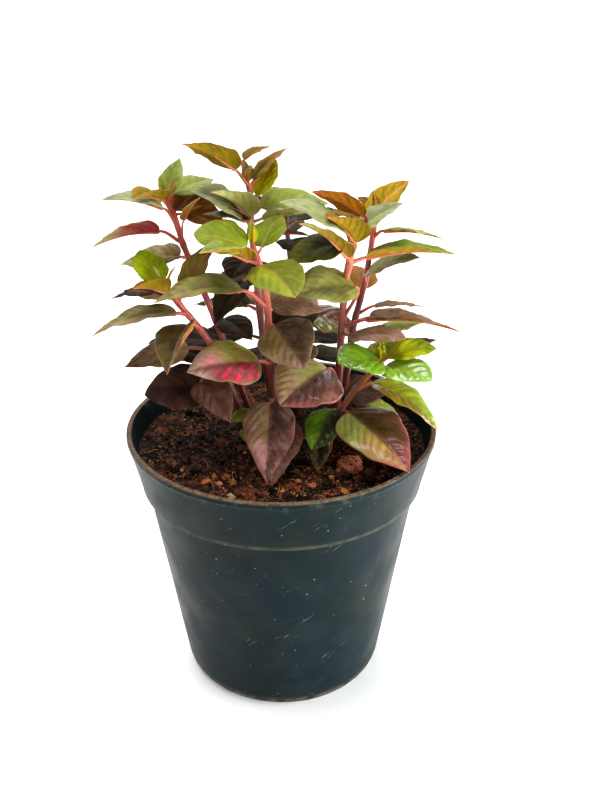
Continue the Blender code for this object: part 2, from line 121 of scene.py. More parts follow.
def fade(value, start, end, low=0.0, high=1.0):
    # eases from low to high while value goes from start to end
    sockets = {"Value": value, "From Min": start, "From Max": end, "To Min": low, "To Max": high}
    return addNode("ShaderNodeMapRange", sockets, interpolation_type="SMOOTHSTEP")[0]


def grain(where, scale, detail=2.0):
    return addNode("ShaderNodeTexNoise", {"Vector": where, "Scale": scale, "Detail": detail})["Fac"]


def streaks(where, detail, stretch, turn=0.0):
    # turned first and stretched after that, so slanted marks stay slanted
    size = tuple(1 / share for share in stretch)
    sockets = {"Vector": where, "Scale": size, "Rotation": (0.0, 0.0, math.radians(turn))}
    return grain(addNode("ShaderNodeMapping", sockets, vector_type="TEXTURE")[0], 1.0, detail)


def cells(where, scale, feature="F1"):
    return addNode("ShaderNodeTexVoronoi", {"Vector": where, "Scale": scale}, feature=feature)


def chances(made):
    # random shares that are the same all over each cell
    return addNode("ShaderNodeSeparateColor", {0: made["Color"]})


def attribute(where, name, output="Color"):
    made = where.id_data.nodes.new("ShaderNodeAttribute")
    made.attribute_name = name
    return made.outputs[output]


def relief(height, depth, strength=1.0):
    return addNode("ShaderNodeBump", {"Height": height, "Distance": depth * mm, "Strength": strength})[0]


# Helpers for meshes

def newObject(name, data):
    made = bpy.data.objects.new(name, data)
    bpy.context.scene.collection.objects.link(made)
    return made


def newHeap():
    return {"points": [], "faces": [], "slots": [], "paints": {}, "count": 0}


def joinInto(heap, points, faces, slot=0, **paints):
    # a paint is one value for all points or one value for each
    start = heap["count"]
    heap["points"].append(points)
    heap["faces"] += [[corner + start for corner in face] for face in faces]
    heap["slots"] += [slot] * len(faces)
    for title, values in paints.items():
        values = np.asarray(values, float)
        if values.ndim < 2:
            values = np.tile(values, (len(points), 1))
        heap["paints"].setdefault(title, []).append(values)
    heap["count"] += len(points)


def newPiece(name, heap, materials, smooth=True):
    mesh = bpy.data.meshes.new(name)
    mesh.from_pydata((np.concatenate(heap["points"]) * mm).tolist(), [], heap["faces"])
    for material in materials:
        mesh.materials.append(material)
    mesh.polygons.foreach_set("material_index", np.array(heap["slots"], dtype=np.int32))
    mesh.polygons.foreach_set("use_smooth", [smooth] * len(mesh.polygons))
    for title, values in heap["paints"].items():
        values = np.concatenate(values).astype(np.float32)
        kind, field = ("FLOAT", "value") if values.shape[1] == 1 else ("FLOAT_VECTOR", "vector")
        if title.endswith("Colour"):
            kind, field = "FLOAT_COLOR", "color"
            values = np.hstack([values, np.ones((len(values), 1), np.float32)])
        mesh.attributes.new(title, kind, "POINT").data.foreach_set(field, values.ravel())
    mesh.validate()
    mesh.update()
    piece = newObject(name, mesh)
    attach(piece, "root")
    return piece


def gridFaces(rows, columns, start=0, flip=False, closed=False):
    index = np.arange(rows * columns).reshape(rows, columns) + start
    if closed:
        index = np.hstack([index, index[:, :1]])
    quads = np.stack([index[:-1, :-1], index[:-1, 1:], index[1:, 1:], index[1:, :-1]], axis=-1)
    if flip:
        quads = quads[..., ::-1]
    return quads.reshape(-1, 4).tolist()


def tube(path, radii, sides, ridge=0.0):
    # closed tube along a path, its rings carried along without twist
    path = np.asarray(path, float)
    ahead = np.gradient(path, axis=0)
    ahead /= np.linalg.norm(ahead, axis=1)[:, None]
    across = np.cross(ahead[0], (0.31, 0.87, 0.39))
    rings = []
    turn = np.arange(sides) * math.tau / sides
    swell = 1 + ridge * np.cos(turn * round(sides / 4))
    for point, forward, radius in zip(path, ahead, radii):
        across = across - forward * np.dot(across, forward)
        across /= np.linalg.norm(across)
        upward = np.cross(forward, across)
        ring = np.outer(np.cos(turn) * swell, across) + np.outer(np.sin(turn) * swell, upward)
        rings.append(point + ring * radius)
    faces = gridFaces(len(path), sides, closed=True)
    faces.append(list(range(sides))[::-1])
    faces.append(list(range((len(path) - 1) * sides, len(path) * sides)))
    return np.concatenate(rings), faces


def easeBetween(low, high, value):
    share = np.clip((value - low) / (high - low), 0, 1)
    return share * share * (3 - 2 * share)


def wander(x, y, seed):
    # smooth uneven values between -1 and 1
    first = np.sin(1.7 * x + 2.3 * y + seed)
    second = np.sin(-2.9 * x + 1.3 * y + 1.7 * seed)
    third = np.sin(4.1 * x + 3.7 * y + 2.9 * seed)
    return (first + second + third) / 3


# Camera, floor and light

studio = {
    "cameraAt": (0.009, -0.432, 0.3617),
    "cameraTilt": 63.58,
    "lens": 45.0,
    "sensor": 36.0,
    "floor": (246, 246, 246),
    "floorPatches": (250, 250, 250),
    "floorHalf": 9.0,
    "floorGlow": 0.22,
    "sky": 0.40,
    "lampAim": (0, 0, 0.17),
    "sunFrom": (-0.08, 0.08, 1.0),
    "sunStrength": 3.7,
    "sunAngle": 36.0,
    "sunColour": (1.0, 0.99, 0.97),
    # place, side, power and colour
    "windowLight": ((-0.15, 0.95, 0.95), 0.9, 8.0, (1.0, 1.0, 1.0)),
    "sideLight": ((0.80, -0.30, 0.08), 0.8, 28.0, (0.94, 0.98, 1.0)),
    "warmLight": ((-0.85, -0.10, 0.20), 0.5, 0.4, (1.0, 0.90, 0.66)),
}


def placeLamp(lamp, spot):
    holder = newObject(lamp.name, lamp)
    holder.location = spot
    aim = Vector(studio["lampAim"]) - Vector(spot)
    holder.rotation_euler = aim.to_track_quat("-Z", "Y").to_euler()
    holder.visible_camera = False


def makeFloor(look):
    paper, where = newMaterial("floorPaper")
    setShader(paper, {
        "Base Color": mixColour(grain(where, 3.0), look["floor"], look["floorPatches"]),
        "Roughness": 0.9,
        "Specular IOR Level": 0.1,
        "Emission Color": (255, 255, 255),
        "Emission Strength": look["floorGlow"],
    })
    half = look["floorHalf"]
    corners = [(-half, -half, 0), (half, -half, 0), (half, half, 0), (-half, half, 0)]
    mesh = bpy.data.meshes.new("floor")
    mesh.from_pydata(corners, [], [(0, 1, 2, 3)])
    mesh.materials.append(paper)
    floor = newObject("floor", mesh)


def setStudio(look):
    scene = bpy.context.scene
    scene.view_settings.view_transform = "Standard"
    camera = bpy.data.cameras.new("camera")
    camera.lens = look["lens"]
    camera.sensor_width = look["sensor"]
    camera.clip_start = 0.01
    scene.camera = newObject("camera", camera)
    scene.camera.location = look["cameraAt"]
    scene.camera.rotation_euler = (math.radians(look["cameraTilt"]), 0, 0)

    world = scene.world or bpy.data.worlds.new("studio")
    scene.world = world
    world.use_nodes = True
    background = world.node_tree.nodes["Background"]
    background.inputs[0].default_value = (1.0, 1.0, 1.0, 1.0)
    background.inputs[1].default_value = look["sky"]
    makeFloor(look)

    sun = bpy.data.lights.new("softSun", "SUN")
    sun.energy = look["sunStrength"]
    sun.angle = math.radians(look["sunAngle"])
    sun.color = look["sunColour"]
    placeLamp(sun, look["sunFrom"])
    for name in ("windowLight", "sideLight", "warmLight"):
        lamp = bpy.data.lights.new(name, "AREA")
        spot, lamp.size, lamp.energy, lamp.color = look[name]
        placeLamp(lamp, spot)
    print("studio set")


setStudio(studio)


# Pot: thin dark plastic with a rolled lip, a wide rim band and drain holes

pot = {
    "height": 135.0,
    "rimRadius": 75.0,
    "lipWidth": 2.4,
    "bandDrop": 28.0,
    "bandFootRadius": 68.9,
    "stepRadius": 66.3,
    "stepSlope": 1.2,
    "bodyFootRadius": 51.0,
    "footRadius": 47.5,
    "footRise": 5.0,
    "wall": 1.7,
    "floor": 2.4,
    "drainCount": 6,
    "drainCircle": 31.0,
    "drainRadius": 4.5,
    "drainTurn": 0.37,
    "aroundSteps": 240,
    "longestSpan": 4.0,
    "sharpAngle": 38.0,
    "unevenness": 0.12,
    "nicks": 0.10,
    "plastic": (8, 23, 22),
    "plasticBlue": (8, 25, 31),
    "specular": 0.07,
    "dustAndSheen": (98, 96, 80),
    "dustShare": 0.05,
    "scratch": (140, 144, 134),
    "scratchShare": 0.24,
    "speck": (196, 182, 148),
    "speckShare": 0.60,
    "lipTopTint": (114, 90, 68),
    "lipTopTintShare": 0.75,
    "browShare": 0.10,
    "stepDustAndHighlight": (0.10, 0.44),
    "footWear": (128, 120, 98),
    "footWearShare": 0.60,
    "soilStain": (22, 18, 14),
    "soilStainShare": 0.55,
}


def innerRadius(height):
    stepTop = pot["height"] - pot["bandDrop"]
    heights = [pot["footRise"], stepTop - pot["stepSlope"], stepTop + pot["wall"], pot["height"]]
    radii = [pot["bodyFootRadius"], pot["stepRadius"], pot["bandFootRadius"]]
    radii = [radius - pot["wall"] for radius in radii] + [pot["rimRadius"] - pot["lipWidth"]]
    return float(np.interp(height, heights, radii))


def roundedLine(corners, longest):
    # a line through corners given as radius, height and rounding, cut into short spans
    line = []
    for index, (radius, height, rounding) in enumerate(corners):
        here = np.array((radius, height))
        if rounding == 0:
            line.append(here)
            continue
        before = np.array(corners[index - 1][:2]) - here
        after = np.array(corners[index + 1][:2]) - here
        reach = min(rounding, np.linalg.norm(before) * 0.48, np.linalg.norm(after) * 0.48)
        start = here + before / np.linalg.norm(before) * reach
        end = here + after / np.linalg.norm(after) * reach
        for share in np.linspace(0, 1, 6):
            line.append((1 - share) ** 2 * start + 2 * share * (1 - share) * here + share**2 * end)
    fine = [line[0]]
    for point in line[1:]:
        pieces = max(int(np.linalg.norm(point - fine[-1]) / longest) + 1, 1)
        last = fine[-1]
        fine += [last + (point - last) * step / pieces for step in range(1, pieces + 1)]
    return fine


def makePotPlastic(look):
    material, where = newMaterial("potPlastic")
    x, y, z = addNode("ShaderNodeSeparateXYZ", {0: where})
    # the wall unrolled flat, at a mean radius of 70 mm
    radius = sums("SQRT", plus(times(x, x), times(y, y)))
    around = times(sums("ARCTAN2", y, x), 0.07)
    unrolled = addNode("ShaderNodeCombineXYZ", {0: around, 1: z, 2: times(radius, 0.3)})[0]

    patches = grain(where, 24.0, 3.0)
    colour = mixColour(fade(patches, 0.35, 0.65), look["plastic"], look["plasticBlue"])
    film = fade(grain(where, 60.0, 6.0), 0.42, 0.75)
    colour = mixColour(times(film, look["dustShare"]), colour, look["dustAndSheen"])

    # slanted scratches in places, a few nearly level ones, and pale specks
    slanted = fade(streaks(unrolled, 2.0, (860.0, 120.0, 80.0), -52), 0.645, 0.715)
    slanted = times(slanted, fade(grain(unrolled, 55.0, 1.0), 0.55, 0.66))
    level = fade(streaks(unrolled, 2.0, (60.0, 760.0, 80.0), 18), 0.70, 0.76)
    marks = larger(slanted, times(level, fade(patches, 0.52, 0.64, 0.0, 0.55)))
    colour = mixColour(times(marks, look["scratchShare"]), colour, look["scratch"])
    spots = cells(unrolled, 240.0)
    dots = fade(plus(spots["Distance"], times(grain(where, 900.0), 0.1)), 0.135, 0.105)
    specks = times(dots, fade(chances(spots)[0], 0.56, 0.60), fade(grain(unrolled, 38.0), 0.45, 0.56))
    colour = mixColour(times(specks, look["speckShare"]), colour, look["speck"])

    # a paler tan on the lip's top, wear under it and on the foot, a pale line on the step that is partly
    # dust and partly painted highlight, and soil on the inside
    top = look["height"] * mm
    stepTop = (look["height"] - look["bandDrop"]) * mm
    rubbing = grain(where, 190.0, 6.0)
    # the top of the lip is painted a paler tan
    lip = fade(z, top - 0.0009, top - 0.0001)
    lip = times(lip, fade(grain(where, 560.0, 6.0), 0.30, 0.62, 0.30, 1.0))
    colour = mixColour(times(lip, look["lipTopTintShare"]), colour, look["lipTopTint"])
    brow = times(fade(z, top - 0.0075, top - 0.001), fade(rubbing, 0.52, 0.66))
    colour = mixColour(times(brow, look["browShare"]), colour, look["scratch"])
    # the pale line along the step is partly dust and partly a painted highlight on the band's rounded foot
    ledge = times(fade(z, stepTop - 0.0016, stepTop - 0.0004), fade(z, stepTop + 0.0030, stepTop + 0.0012))
    colour = mixColour(times(ledge, fade(rubbing, 0.2, 0.7, *look["stepDustAndHighlight"])), colour, look["dustAndSheen"])
    foot = times(fade(z, 0.0075, 0.0010), fade(rubbing, 0.42, 0.56))
    colour = mixColour(times(foot, look["footWearShare"]), colour, look["footWear"])
    soiled = times(attribute(where, "innerWall", "Fac"), fade(z, top - 0.002, top - 0.012))
    soiled = times(soiled, fade(rubbing, 0.36, 0.62))
    colour = mixColour(times(soiled, look["soilStainShare"]), colour, look["soilStain"])

    rough = fade(grain(where, 45.0, 4.0), 0.3, 0.7, 0.34, 0.50)
    rough = plus(rough, times(larger(lip, larger(marks, specks)), 0.25))
    skin = plus(times(grain(where, 1500.0, 3.0), 0.35), times(rubbing, lip))
    skin = minus(skin, times(marks, 0.6))
    return setShader(material, {
        "Base Color": colour,
        "Roughness": rough,
        "Specular IOR Level": look["specular"],
        "Normal": relief(skin, 0.12, 0.6),
    })


def potLine(look):
    # the wall's outline from the middle of the inside floor, over the lip and down to the foot
    top, wall, lip, rim = look["height"], look["wall"], look["lipWidth"], look["rimRadius"]
    stepTop = top - look["bandDrop"]
    stepFoot = stepTop - look["stepSlope"]
    band, body, foot = look["bandFootRadius"], look["bodyFootRadius"], look["footRadius"]
    insideFoot = look["footRise"] + look["floor"]
    return [
        (0.0, look["floor"], 0),
        (foot - wall, look["floor"], 2.5),
        (innerRadius(insideFoot), insideFoot, 3),
        (innerRadius(stepFoot), stepFoot, 0.8),
        (innerRadius(stepTop + wall), stepTop + wall, 0.8),
        (rim - lip, top - 0.2, 0.9),
        (rim - lip + 0.3, top, 0.4),
        (rim - 0.3, top, 0.5),
        (rim, top - 0.6, 0.5),
        (rim - 0.1, top - 2.6, 0.5),
        (rim - 0.7, top - 3.3, 0.5),
        (band + 0.1, stepTop + 1.6, 1.5),
        (band + 0.15, stepTop + 0.5, 0.7),
        (band - 1.2, stepTop - 0.2, 0.6),
        (look["stepRadius"], stepFoot, 0.6),
        (body, look["footRise"] + 1.2, 3),
        (body - 1.2, look["footRise"] / 2, 2),
        (foot, 0.0, 1.2),
        (foot - 3.0, 0.0, 0.3),
        (0.0, 0.0, 0),
    ]


def drainCutter(look, angle):
    bm = bmesh.new()
    bmesh.ops.create_cone(bm, cap_ends=True, segments=32, radius1=look["drainRadius"] * mm,
                          radius2=look["drainRadius"] * mm, depth=3 * look["floor"] * mm)
    mesh = bpy.data.meshes.new("drain")
    bm.to_mesh(mesh)
    bm.free()
    cutter = newObject("drain", mesh)
    circle = look["drainCircle"] * mm
    cutter.location = (circle * math.cos(angle), circle * math.sin(angle), look["floor"] / 2 * mm)
    return cutter


def wearPot(mesh, look):
    # marks the inside for its stains, and makes the wall and lip slightly uneven
    inner = mesh.attributes.new("innerWall", "FLOAT", "POINT")
    for vert in mesh.vertices:
        reach = math.hypot(vert.co.x, vert.co.y) / mm
        height = vert.co.z / mm
        inside = height > look["floor"] - 0.5 and reach < innerRadius(height) + 0.7
        inner.data[vert.index].value = float(inside)
        sway = noise.noise(vert.co * 28.0) * look["unevenness"] * mm
        nick = noise.noise(vert.co * 260.0) * look["nicks"] * mm if height > look["height"] - 1 else 0.0
        if height > 4:
            vert.co += Vector((vert.co.x, vert.co.y, 0)).normalized() * sway + Vector((0, 0, nick))


def makePot(look):
    line = roundedLine(potLine(look), look["longestSpan"])
    outline = bpy.data.meshes.new("nursery_pot")
    outline.from_pydata([(radius * mm, 0.0, height * mm) for radius, height in line],
                        [(index, index + 1) for index in range(len(line) - 1)], [])
    piece = newObject("nursery_pot", outline)
    screw = piece.modifiers.new("Turn", "SCREW")
    screw.angle = math.tau
    screw.steps = look["aroundSteps"]
    screw.render_steps = look["aroundSteps"]
    screw.use_merge_vertices = True
    screw.merge_threshold = 0.00002
    cutters = []
    for index in range(look["drainCount"]):
        cutters.append(drainCutter(look, math.tau * (index + look["drainTurn"]) / look["drainCount"]))
        cut = piece.modifiers.new("Drain", "BOOLEAN")
        cut.operation = "DIFFERENCE"
        cut.object = cutters[-1]
    depsgraph = bpy.context.evaluated_depsgraph_get()
    depsgraph.update()
    mesh = bpy.data.meshes.new_from_object(piece.evaluated_get(depsgraph), depsgraph=depsgraph)
    piece.modifiers.clear()
    piece.data = mesh
    mesh.name = "nursery_pot"
    for cutter in cutters:
        bpy.data.objects.remove(cutter, do_unlink=True)
    wearPot(mesh, look)
    mesh.shade_smooth()
    mesh.set_sharp_from_angle(angle=math.radians(look["sharpAngle"]))
    mesh.materials.clear()
    mesh.materials.append(makePotPlastic(look))
    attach(piece, "root")
    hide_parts("pot")
    print("pot made:", len(mesh.polygons), "faces")


makePot(pot)


# Potting soil: a lumpy bed, loose crumbs, fibres and a few things that lie on it

soil = {
    "level": 124.0,
    "slope": 0.015,
    "rings": 92,
    "aroundSteps": 230,
    "gap": 0.3,
    # height and span of the unevenness, from broad to fine
    "lump": (1.3, 13.0),
    "clod": (1.5, 5.0),
    "grit": (0.55, 1.3),
    # how many, roundness, and the smallest and largest radius
    "crumbs": (8400, 1, 0.25, 0.85),
    "clods": (760, 2, 0.7, 2.0),
    "fibres": 70,
    "fibreRadius": 0.16,
    "fibreSteps": 9,
    "fibreStep": 0.9,
    "black": (13, 7, 4),
    "dark": (34, 20, 13),
    "brown": (68, 40, 25),
    "clay": (124, 66, 38),
    "ochre": (150, 100, 48),
    "pale": (160, 132, 98),
    "fibre": (150, 116, 78),
    "seed": 11,
}


def soilRise(x, y):
    spot = Vector((x, y, 3.0))
    front = easeBetween(20, -45, y) * 0.8 + 0.35
    rise = soil["slope"] * (x - y)
    rise += soil["lump"][0] * noise.noise(spot / soil["lump"][1])
    rise += soil["clod"][0] * front * noise.turbulence(spot / soil["clod"][1], 2, False)
    rise += soil["grit"][0] * front * noise.noise(spot / soil["grit"][1])
    return rise


def soilHeight(x, y):
    edge = innerRadius(soil["level"]) - soil["gap"]
    inside = 1.0 - min(math.hypot(x, y) / edge, 1.0) ** 10
    return soil["level"] + soilRise(x, y) * inside


def soilSpot(random, edge):
    # a random place on the soil, spread evenly
    radius = edge * math.sqrt(random.random())
    turn = random.random() * math.tau
    return radius * math.cos(turn), radius * math.sin(turn)


def makeSoilEarth(look):
    material, where = newMaterial("soilEarth")
    broad = grain(where, 45.0, 5.0)
    fine = grain(where, 420.0, 8.0)
    colour = mixColour(fade(broad, 0.44, 0.60), look["black"], look["dark"])
    colour = mixColour(fade(fine, 0.50, 0.64), colour, look["brown"])
    reddish = fade(grain(where, 120.0, 8.0), 0.53, 0.64)
    colour = mixColour(times(reddish, 0.45), colour, look["clay"])
    bits = cells(where, 520.0)
    bright = times(fade(chances(bits)[1], 0.86, 0.90), fade(bits["Distance"], 0.34, 0.22))
    colour = mixColour(times(bright, 0.7), colour, look["ochre"])
    return setShader(material, {
        "Base Color": colour,
        "Roughness": fade(fine, 0.35, 0.65, 0.98, 0.72),
        "Specular IOR Level": 0.08,
        "Normal": relief(plus(fine, times(broad, 0.5)), 1.0),
    })


def makeCrumbFinish(look):
    material, where = newMaterial("soilCrumbs")
    own = attribute(where, "crumbColour")
    fine = grain(where, 900.0, 5.0)
    return setShader(material, {
        "Base Color": mixColour(fade(fine, 0.45, 0.70, 0.0, 0.55), own, look["dark"]),
        "Roughness": 0.9,
        "Specular IOR Level": 0.1,
        "Normal": relief(fine, 0.5),
    })


def makeSoilBed(look):
    gap, wall, rings = look["gap"], pot["wall"], look["rings"]
    turns = np.arange(look["aroundSteps"]) * math.tau / look["aroundSteps"]
    edge = innerRadius(look["level"]) - gap
    points = [(0.0, 0.0, soilHeight(0, 0))]
    for ring in range(1, rings + 1):
        radius = edge * (ring / rings) ** 0.85
        for turn in turns:
            x, y = radius * math.cos(turn), radius * math.sin(turn)
            points.append((x, y, soilHeight(x, y)))
    stepTop = pot["height"] - pot["bandDrop"]
    stepFoot = stepTop - pot["stepSlope"]
    insideFoot = pot["footRise"] + pot["floor"]
    lower = [
        (innerRadius(stepTop + wall) - gap, stepTop + wall + gap),
        (innerRadius(stepFoot) - gap, stepFoot),
        (innerRadius(insideFoot) - gap, insideFoot + gap),
        (pot["footRadius"] - wall - 2 * gap, pot["floor"] + gap),
    ]
    for radius, height in lower:
        points += [(radius * math.cos(turn), radius * math.sin(turn), height) for turn in turns]
    points.append((0.0, 0.0, pot["floor"] + gap))
    loops, steps = rings + len(lower), look["aroundSteps"]
    faces = gridFaces(loops, steps, start=1, flip=True, closed=True)
    last = 1 + (loops - 1) * steps
    for step in range(steps):
        following = (step + 1) % steps
        faces.append([0, 1 + step, 1 + following])
        faces.append([last + following, last + step, len(points) - 1])
    heap = newHeap()
    joinInto(heap, np.array(points), faces)
    bed = newPiece("soil_bed", heap, [makeSoilEarth(look)])
    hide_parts("potting_soil")


def lumpShape(divisions):
    bm = bmesh.new()
    bmesh.ops.create_icosphere(bm, subdivisions=divisions, radius=1.0)
    points = np.array([vert.co[:] for vert in bm.verts])
    faces = [[vert.index for vert in face.verts] for face in bm.faces]
    bm.free()
    return points, faces


def makeCrumbs(look, finish):
    # more of them, and redder ones, in front and where the soil lies in heaps
    random = np.random.default_rng(look["seed"])
    tones = [screenColour(look[name]) for name in ("black", "dark", "brown", "clay", "ochre", "pale")]
    edge = innerRadius(look["level"]) - 2.0
    heap = newHeap()
    for count, divisions, small, large in (look["crumbs"], look["clods"]):
        shape, sides = lumpShape(divisions)
        for _ in range(count):
            x, y = soilSpot(random, edge)
            crumbly = float(easeBetween(25, -35, y + 0.25 * abs(x) - 0.3 * x))
            heaped = float(easeBetween(-0.30, 0.30, noise.noise(Vector((x, y, 9.0)) / 7.0)))
            if random.random() > (0.30 + 0.70 * crumbly) * (0.45 + 0.55 * heaped):
                continue
            size = small + (large - small) * random.random() ** 2.2
            stretch = 0.65 + 0.7 * random.random(3)
            rough = 1 + 0.35 * wander(*(shape[:, :2].T * 2.6), random.random() * 9)
            rough += 0.19 * random.normal(size=len(shape))
            spin = np.linalg.qr(random.normal(size=(3, 3)))[0]
            spin *= np.sign(np.linalg.det(spin))
            lump = (shape * rough[:, None] * stretch) @ spin * size
            height = soilHeight(x, y) + size * (0.1 + 0.35 * random.random())
            red, ochre = 0.34 * (0.3 + crumbly) * (0.4 + heaped), 0.07 * (0.3 + crumbly)
            odds = np.array([0.20, 0.20, 0.26, red, ochre, 0.02])
            tone = tones[random.choice(len(tones), p=odds / odds.sum())]
            tone = tone * (0.75 + 0.5 * random.random())
            joinInto(heap, lump + (x, y, height), sides, crumbColour=tone)
    crumbs = newPiece("soil_crumbs", heap, [finish], smooth=False)


def makeFibres(look, finish):
    random = np.random.default_rng(look["seed"] + 1)
    edge = innerRadius(look["level"]) - 8.0
    steps, ahead = look["fibreSteps"], look["fibreStep"]
    heap = newHeap()
    for _ in range(look["fibres"]):
        x, y = soilSpot(random, edge)
        heading = random.random() * math.tau
        bend = (random.random() - 0.5) * 0.5
        path = []
        for step in range(steps):
            path.append((x, y, soilHeight(x, y) + 0.5 + 0.9 * math.sin(math.pi * step / (steps - 1))))
            x += math.cos(heading) * ahead
            y += math.sin(heading) * ahead
            heading += bend + (random.random() - 0.5) * 0.5
        strand, sides = tube(path, [look["fibreRadius"]] * steps, 5)
        tone = screenColour(look["fibre"]) * (0.35 + 0.8 * random.random())
        joinInto(heap, strand, sides, crumbColour=tone)
    fibres = newPiece("soil_fibres", heap, [finish])


# Things that lie on the soil: a porous clay lump, clay chips, a straw stub and a pale dead root
litter = {
    "clayAt": (33.0, -28.5, 127.4),
    "claySize": (6.0, 4.8, 4.6),
    "clay": (178, 98, 60),
    "clayDark": (150, 76, 46),
    "clayPitShade": (52, 24, 14),
    # place across and along, and size
    "clayChips": [(23.5, -36.0, 1.9), (14.5, -44.0, 2.2), (8.0, -40.0, 1.5), (27.5, -30.0, 1.8),
                  (-34.0, -38.0, 2.6), (-28.0, -41.0, 1.7), (1.5, -49.0, 1.6)],
    "chipShape": (1.0, 0.8, 0.6),
    "sticks": {
        "straw_stub": {
            "path": [(21.4, -12.8, 124.5), (22.4, -12.6, 130.0), (24.6, -12.2, 135.4)],
            "radius": 0.75,
            "colour": (196, 160, 98),
        },
        "dead_root": {
            "path": [(30.0, -1.5, 126.5), (33.5, -6.0, 127.8), (37.0, -11.5, 127.6), (41.0, -18.0, 126.6)],
            "radius": 0.8,
            "colour": (176, 158, 116),
        },
    },
    "stickSteps": 24,
}


def smoothPath(corners, count):
    corners = np.asarray(corners, float)
    along = np.linspace(0, len(corners) - 1, count)
    line = np.stack([np.interp(along, range(len(corners)), corners[:, axis]) for axis in range(3)], axis=1)
    for _ in range(count // 5):
        line[1:-1] = (line[:-2] + 2 * line[1:-1] + line[2:]) / 4
    return line


def makeClayFinish(look):
    material, where = newMaterial("porousClay")
    pores = cells(where, 620.0)["Distance"]
    # the pores are darkened: painted shade in the pits
    hollow = fade(plus(pores, times(grain(where, 500.0), 0.25)), 0.44, 0.34)
    rust = mixColour(grain(where, 260.0, 5.0), look["clay"], look["clayDark"])
    return setShader(material, {
        "Base Color": mixColour(hollow, rust, look["clayPitShade"]),
        "Roughness": 0.92,
        "Normal": relief(minus(grain(where, 700.0, 4.0), times(hollow, 1.5)), 0.7),
    })


def makeLitter(look, finish):
    clay = makeClayFinish(look)
    shape, sides = lumpShape(5)
    spots = [Vector(point) for point in shape]
    rough = [1 + 0.34 * noise.noise(spot * 1.5) + 0.16 * noise.noise(spot * 4.5) for spot in spots]
    heap = newHeap()
    joinInto(heap, shape * np.array(rough)[:, None] * look["claySize"] + look["clayAt"], sides)
    stone = newPiece("clay_lump", heap, [clay])

    shape, sides = lumpShape(3)
    heap = newHeap()
    for index, (x, y, size) in enumerate(look["clayChips"]):
        shift = Vector((index * 3, 0, 0))
        rough = np.array([1 + 0.3 * noise.noise(Vector(point) * 1.7 + shift) for point in shape])
        chip = shape * rough[:, None] * size * np.array(look["chipShape"])
        joinInto(heap, chip + (x, y, soilHeight(x, y) + size * 0.25), sides)
    chips = newPiece("clay_chips", heap, [clay])

    for name, item in look["sticks"].items():
        path = smoothPath(item["path"], look["stickSteps"])
        width = [item["radius"] * (1 + 0.12 * math.sin(step * 1.3)) for step in range(len(path))]
        heap = newHeap()
        joinInto(heap, *tube(path, width, 10), crumbColour=screenColour(item["colour"]))
        stick = newPiece(name, heap, [finish])


makeSoilBed(soil)
crumbFinish = makeCrumbFinish(soil)
makeCrumbs(soil, crumbFinish)
makeFibres(soil, crumbFinish)
makeLitter(litter, crumbFinish)
print("soil made")
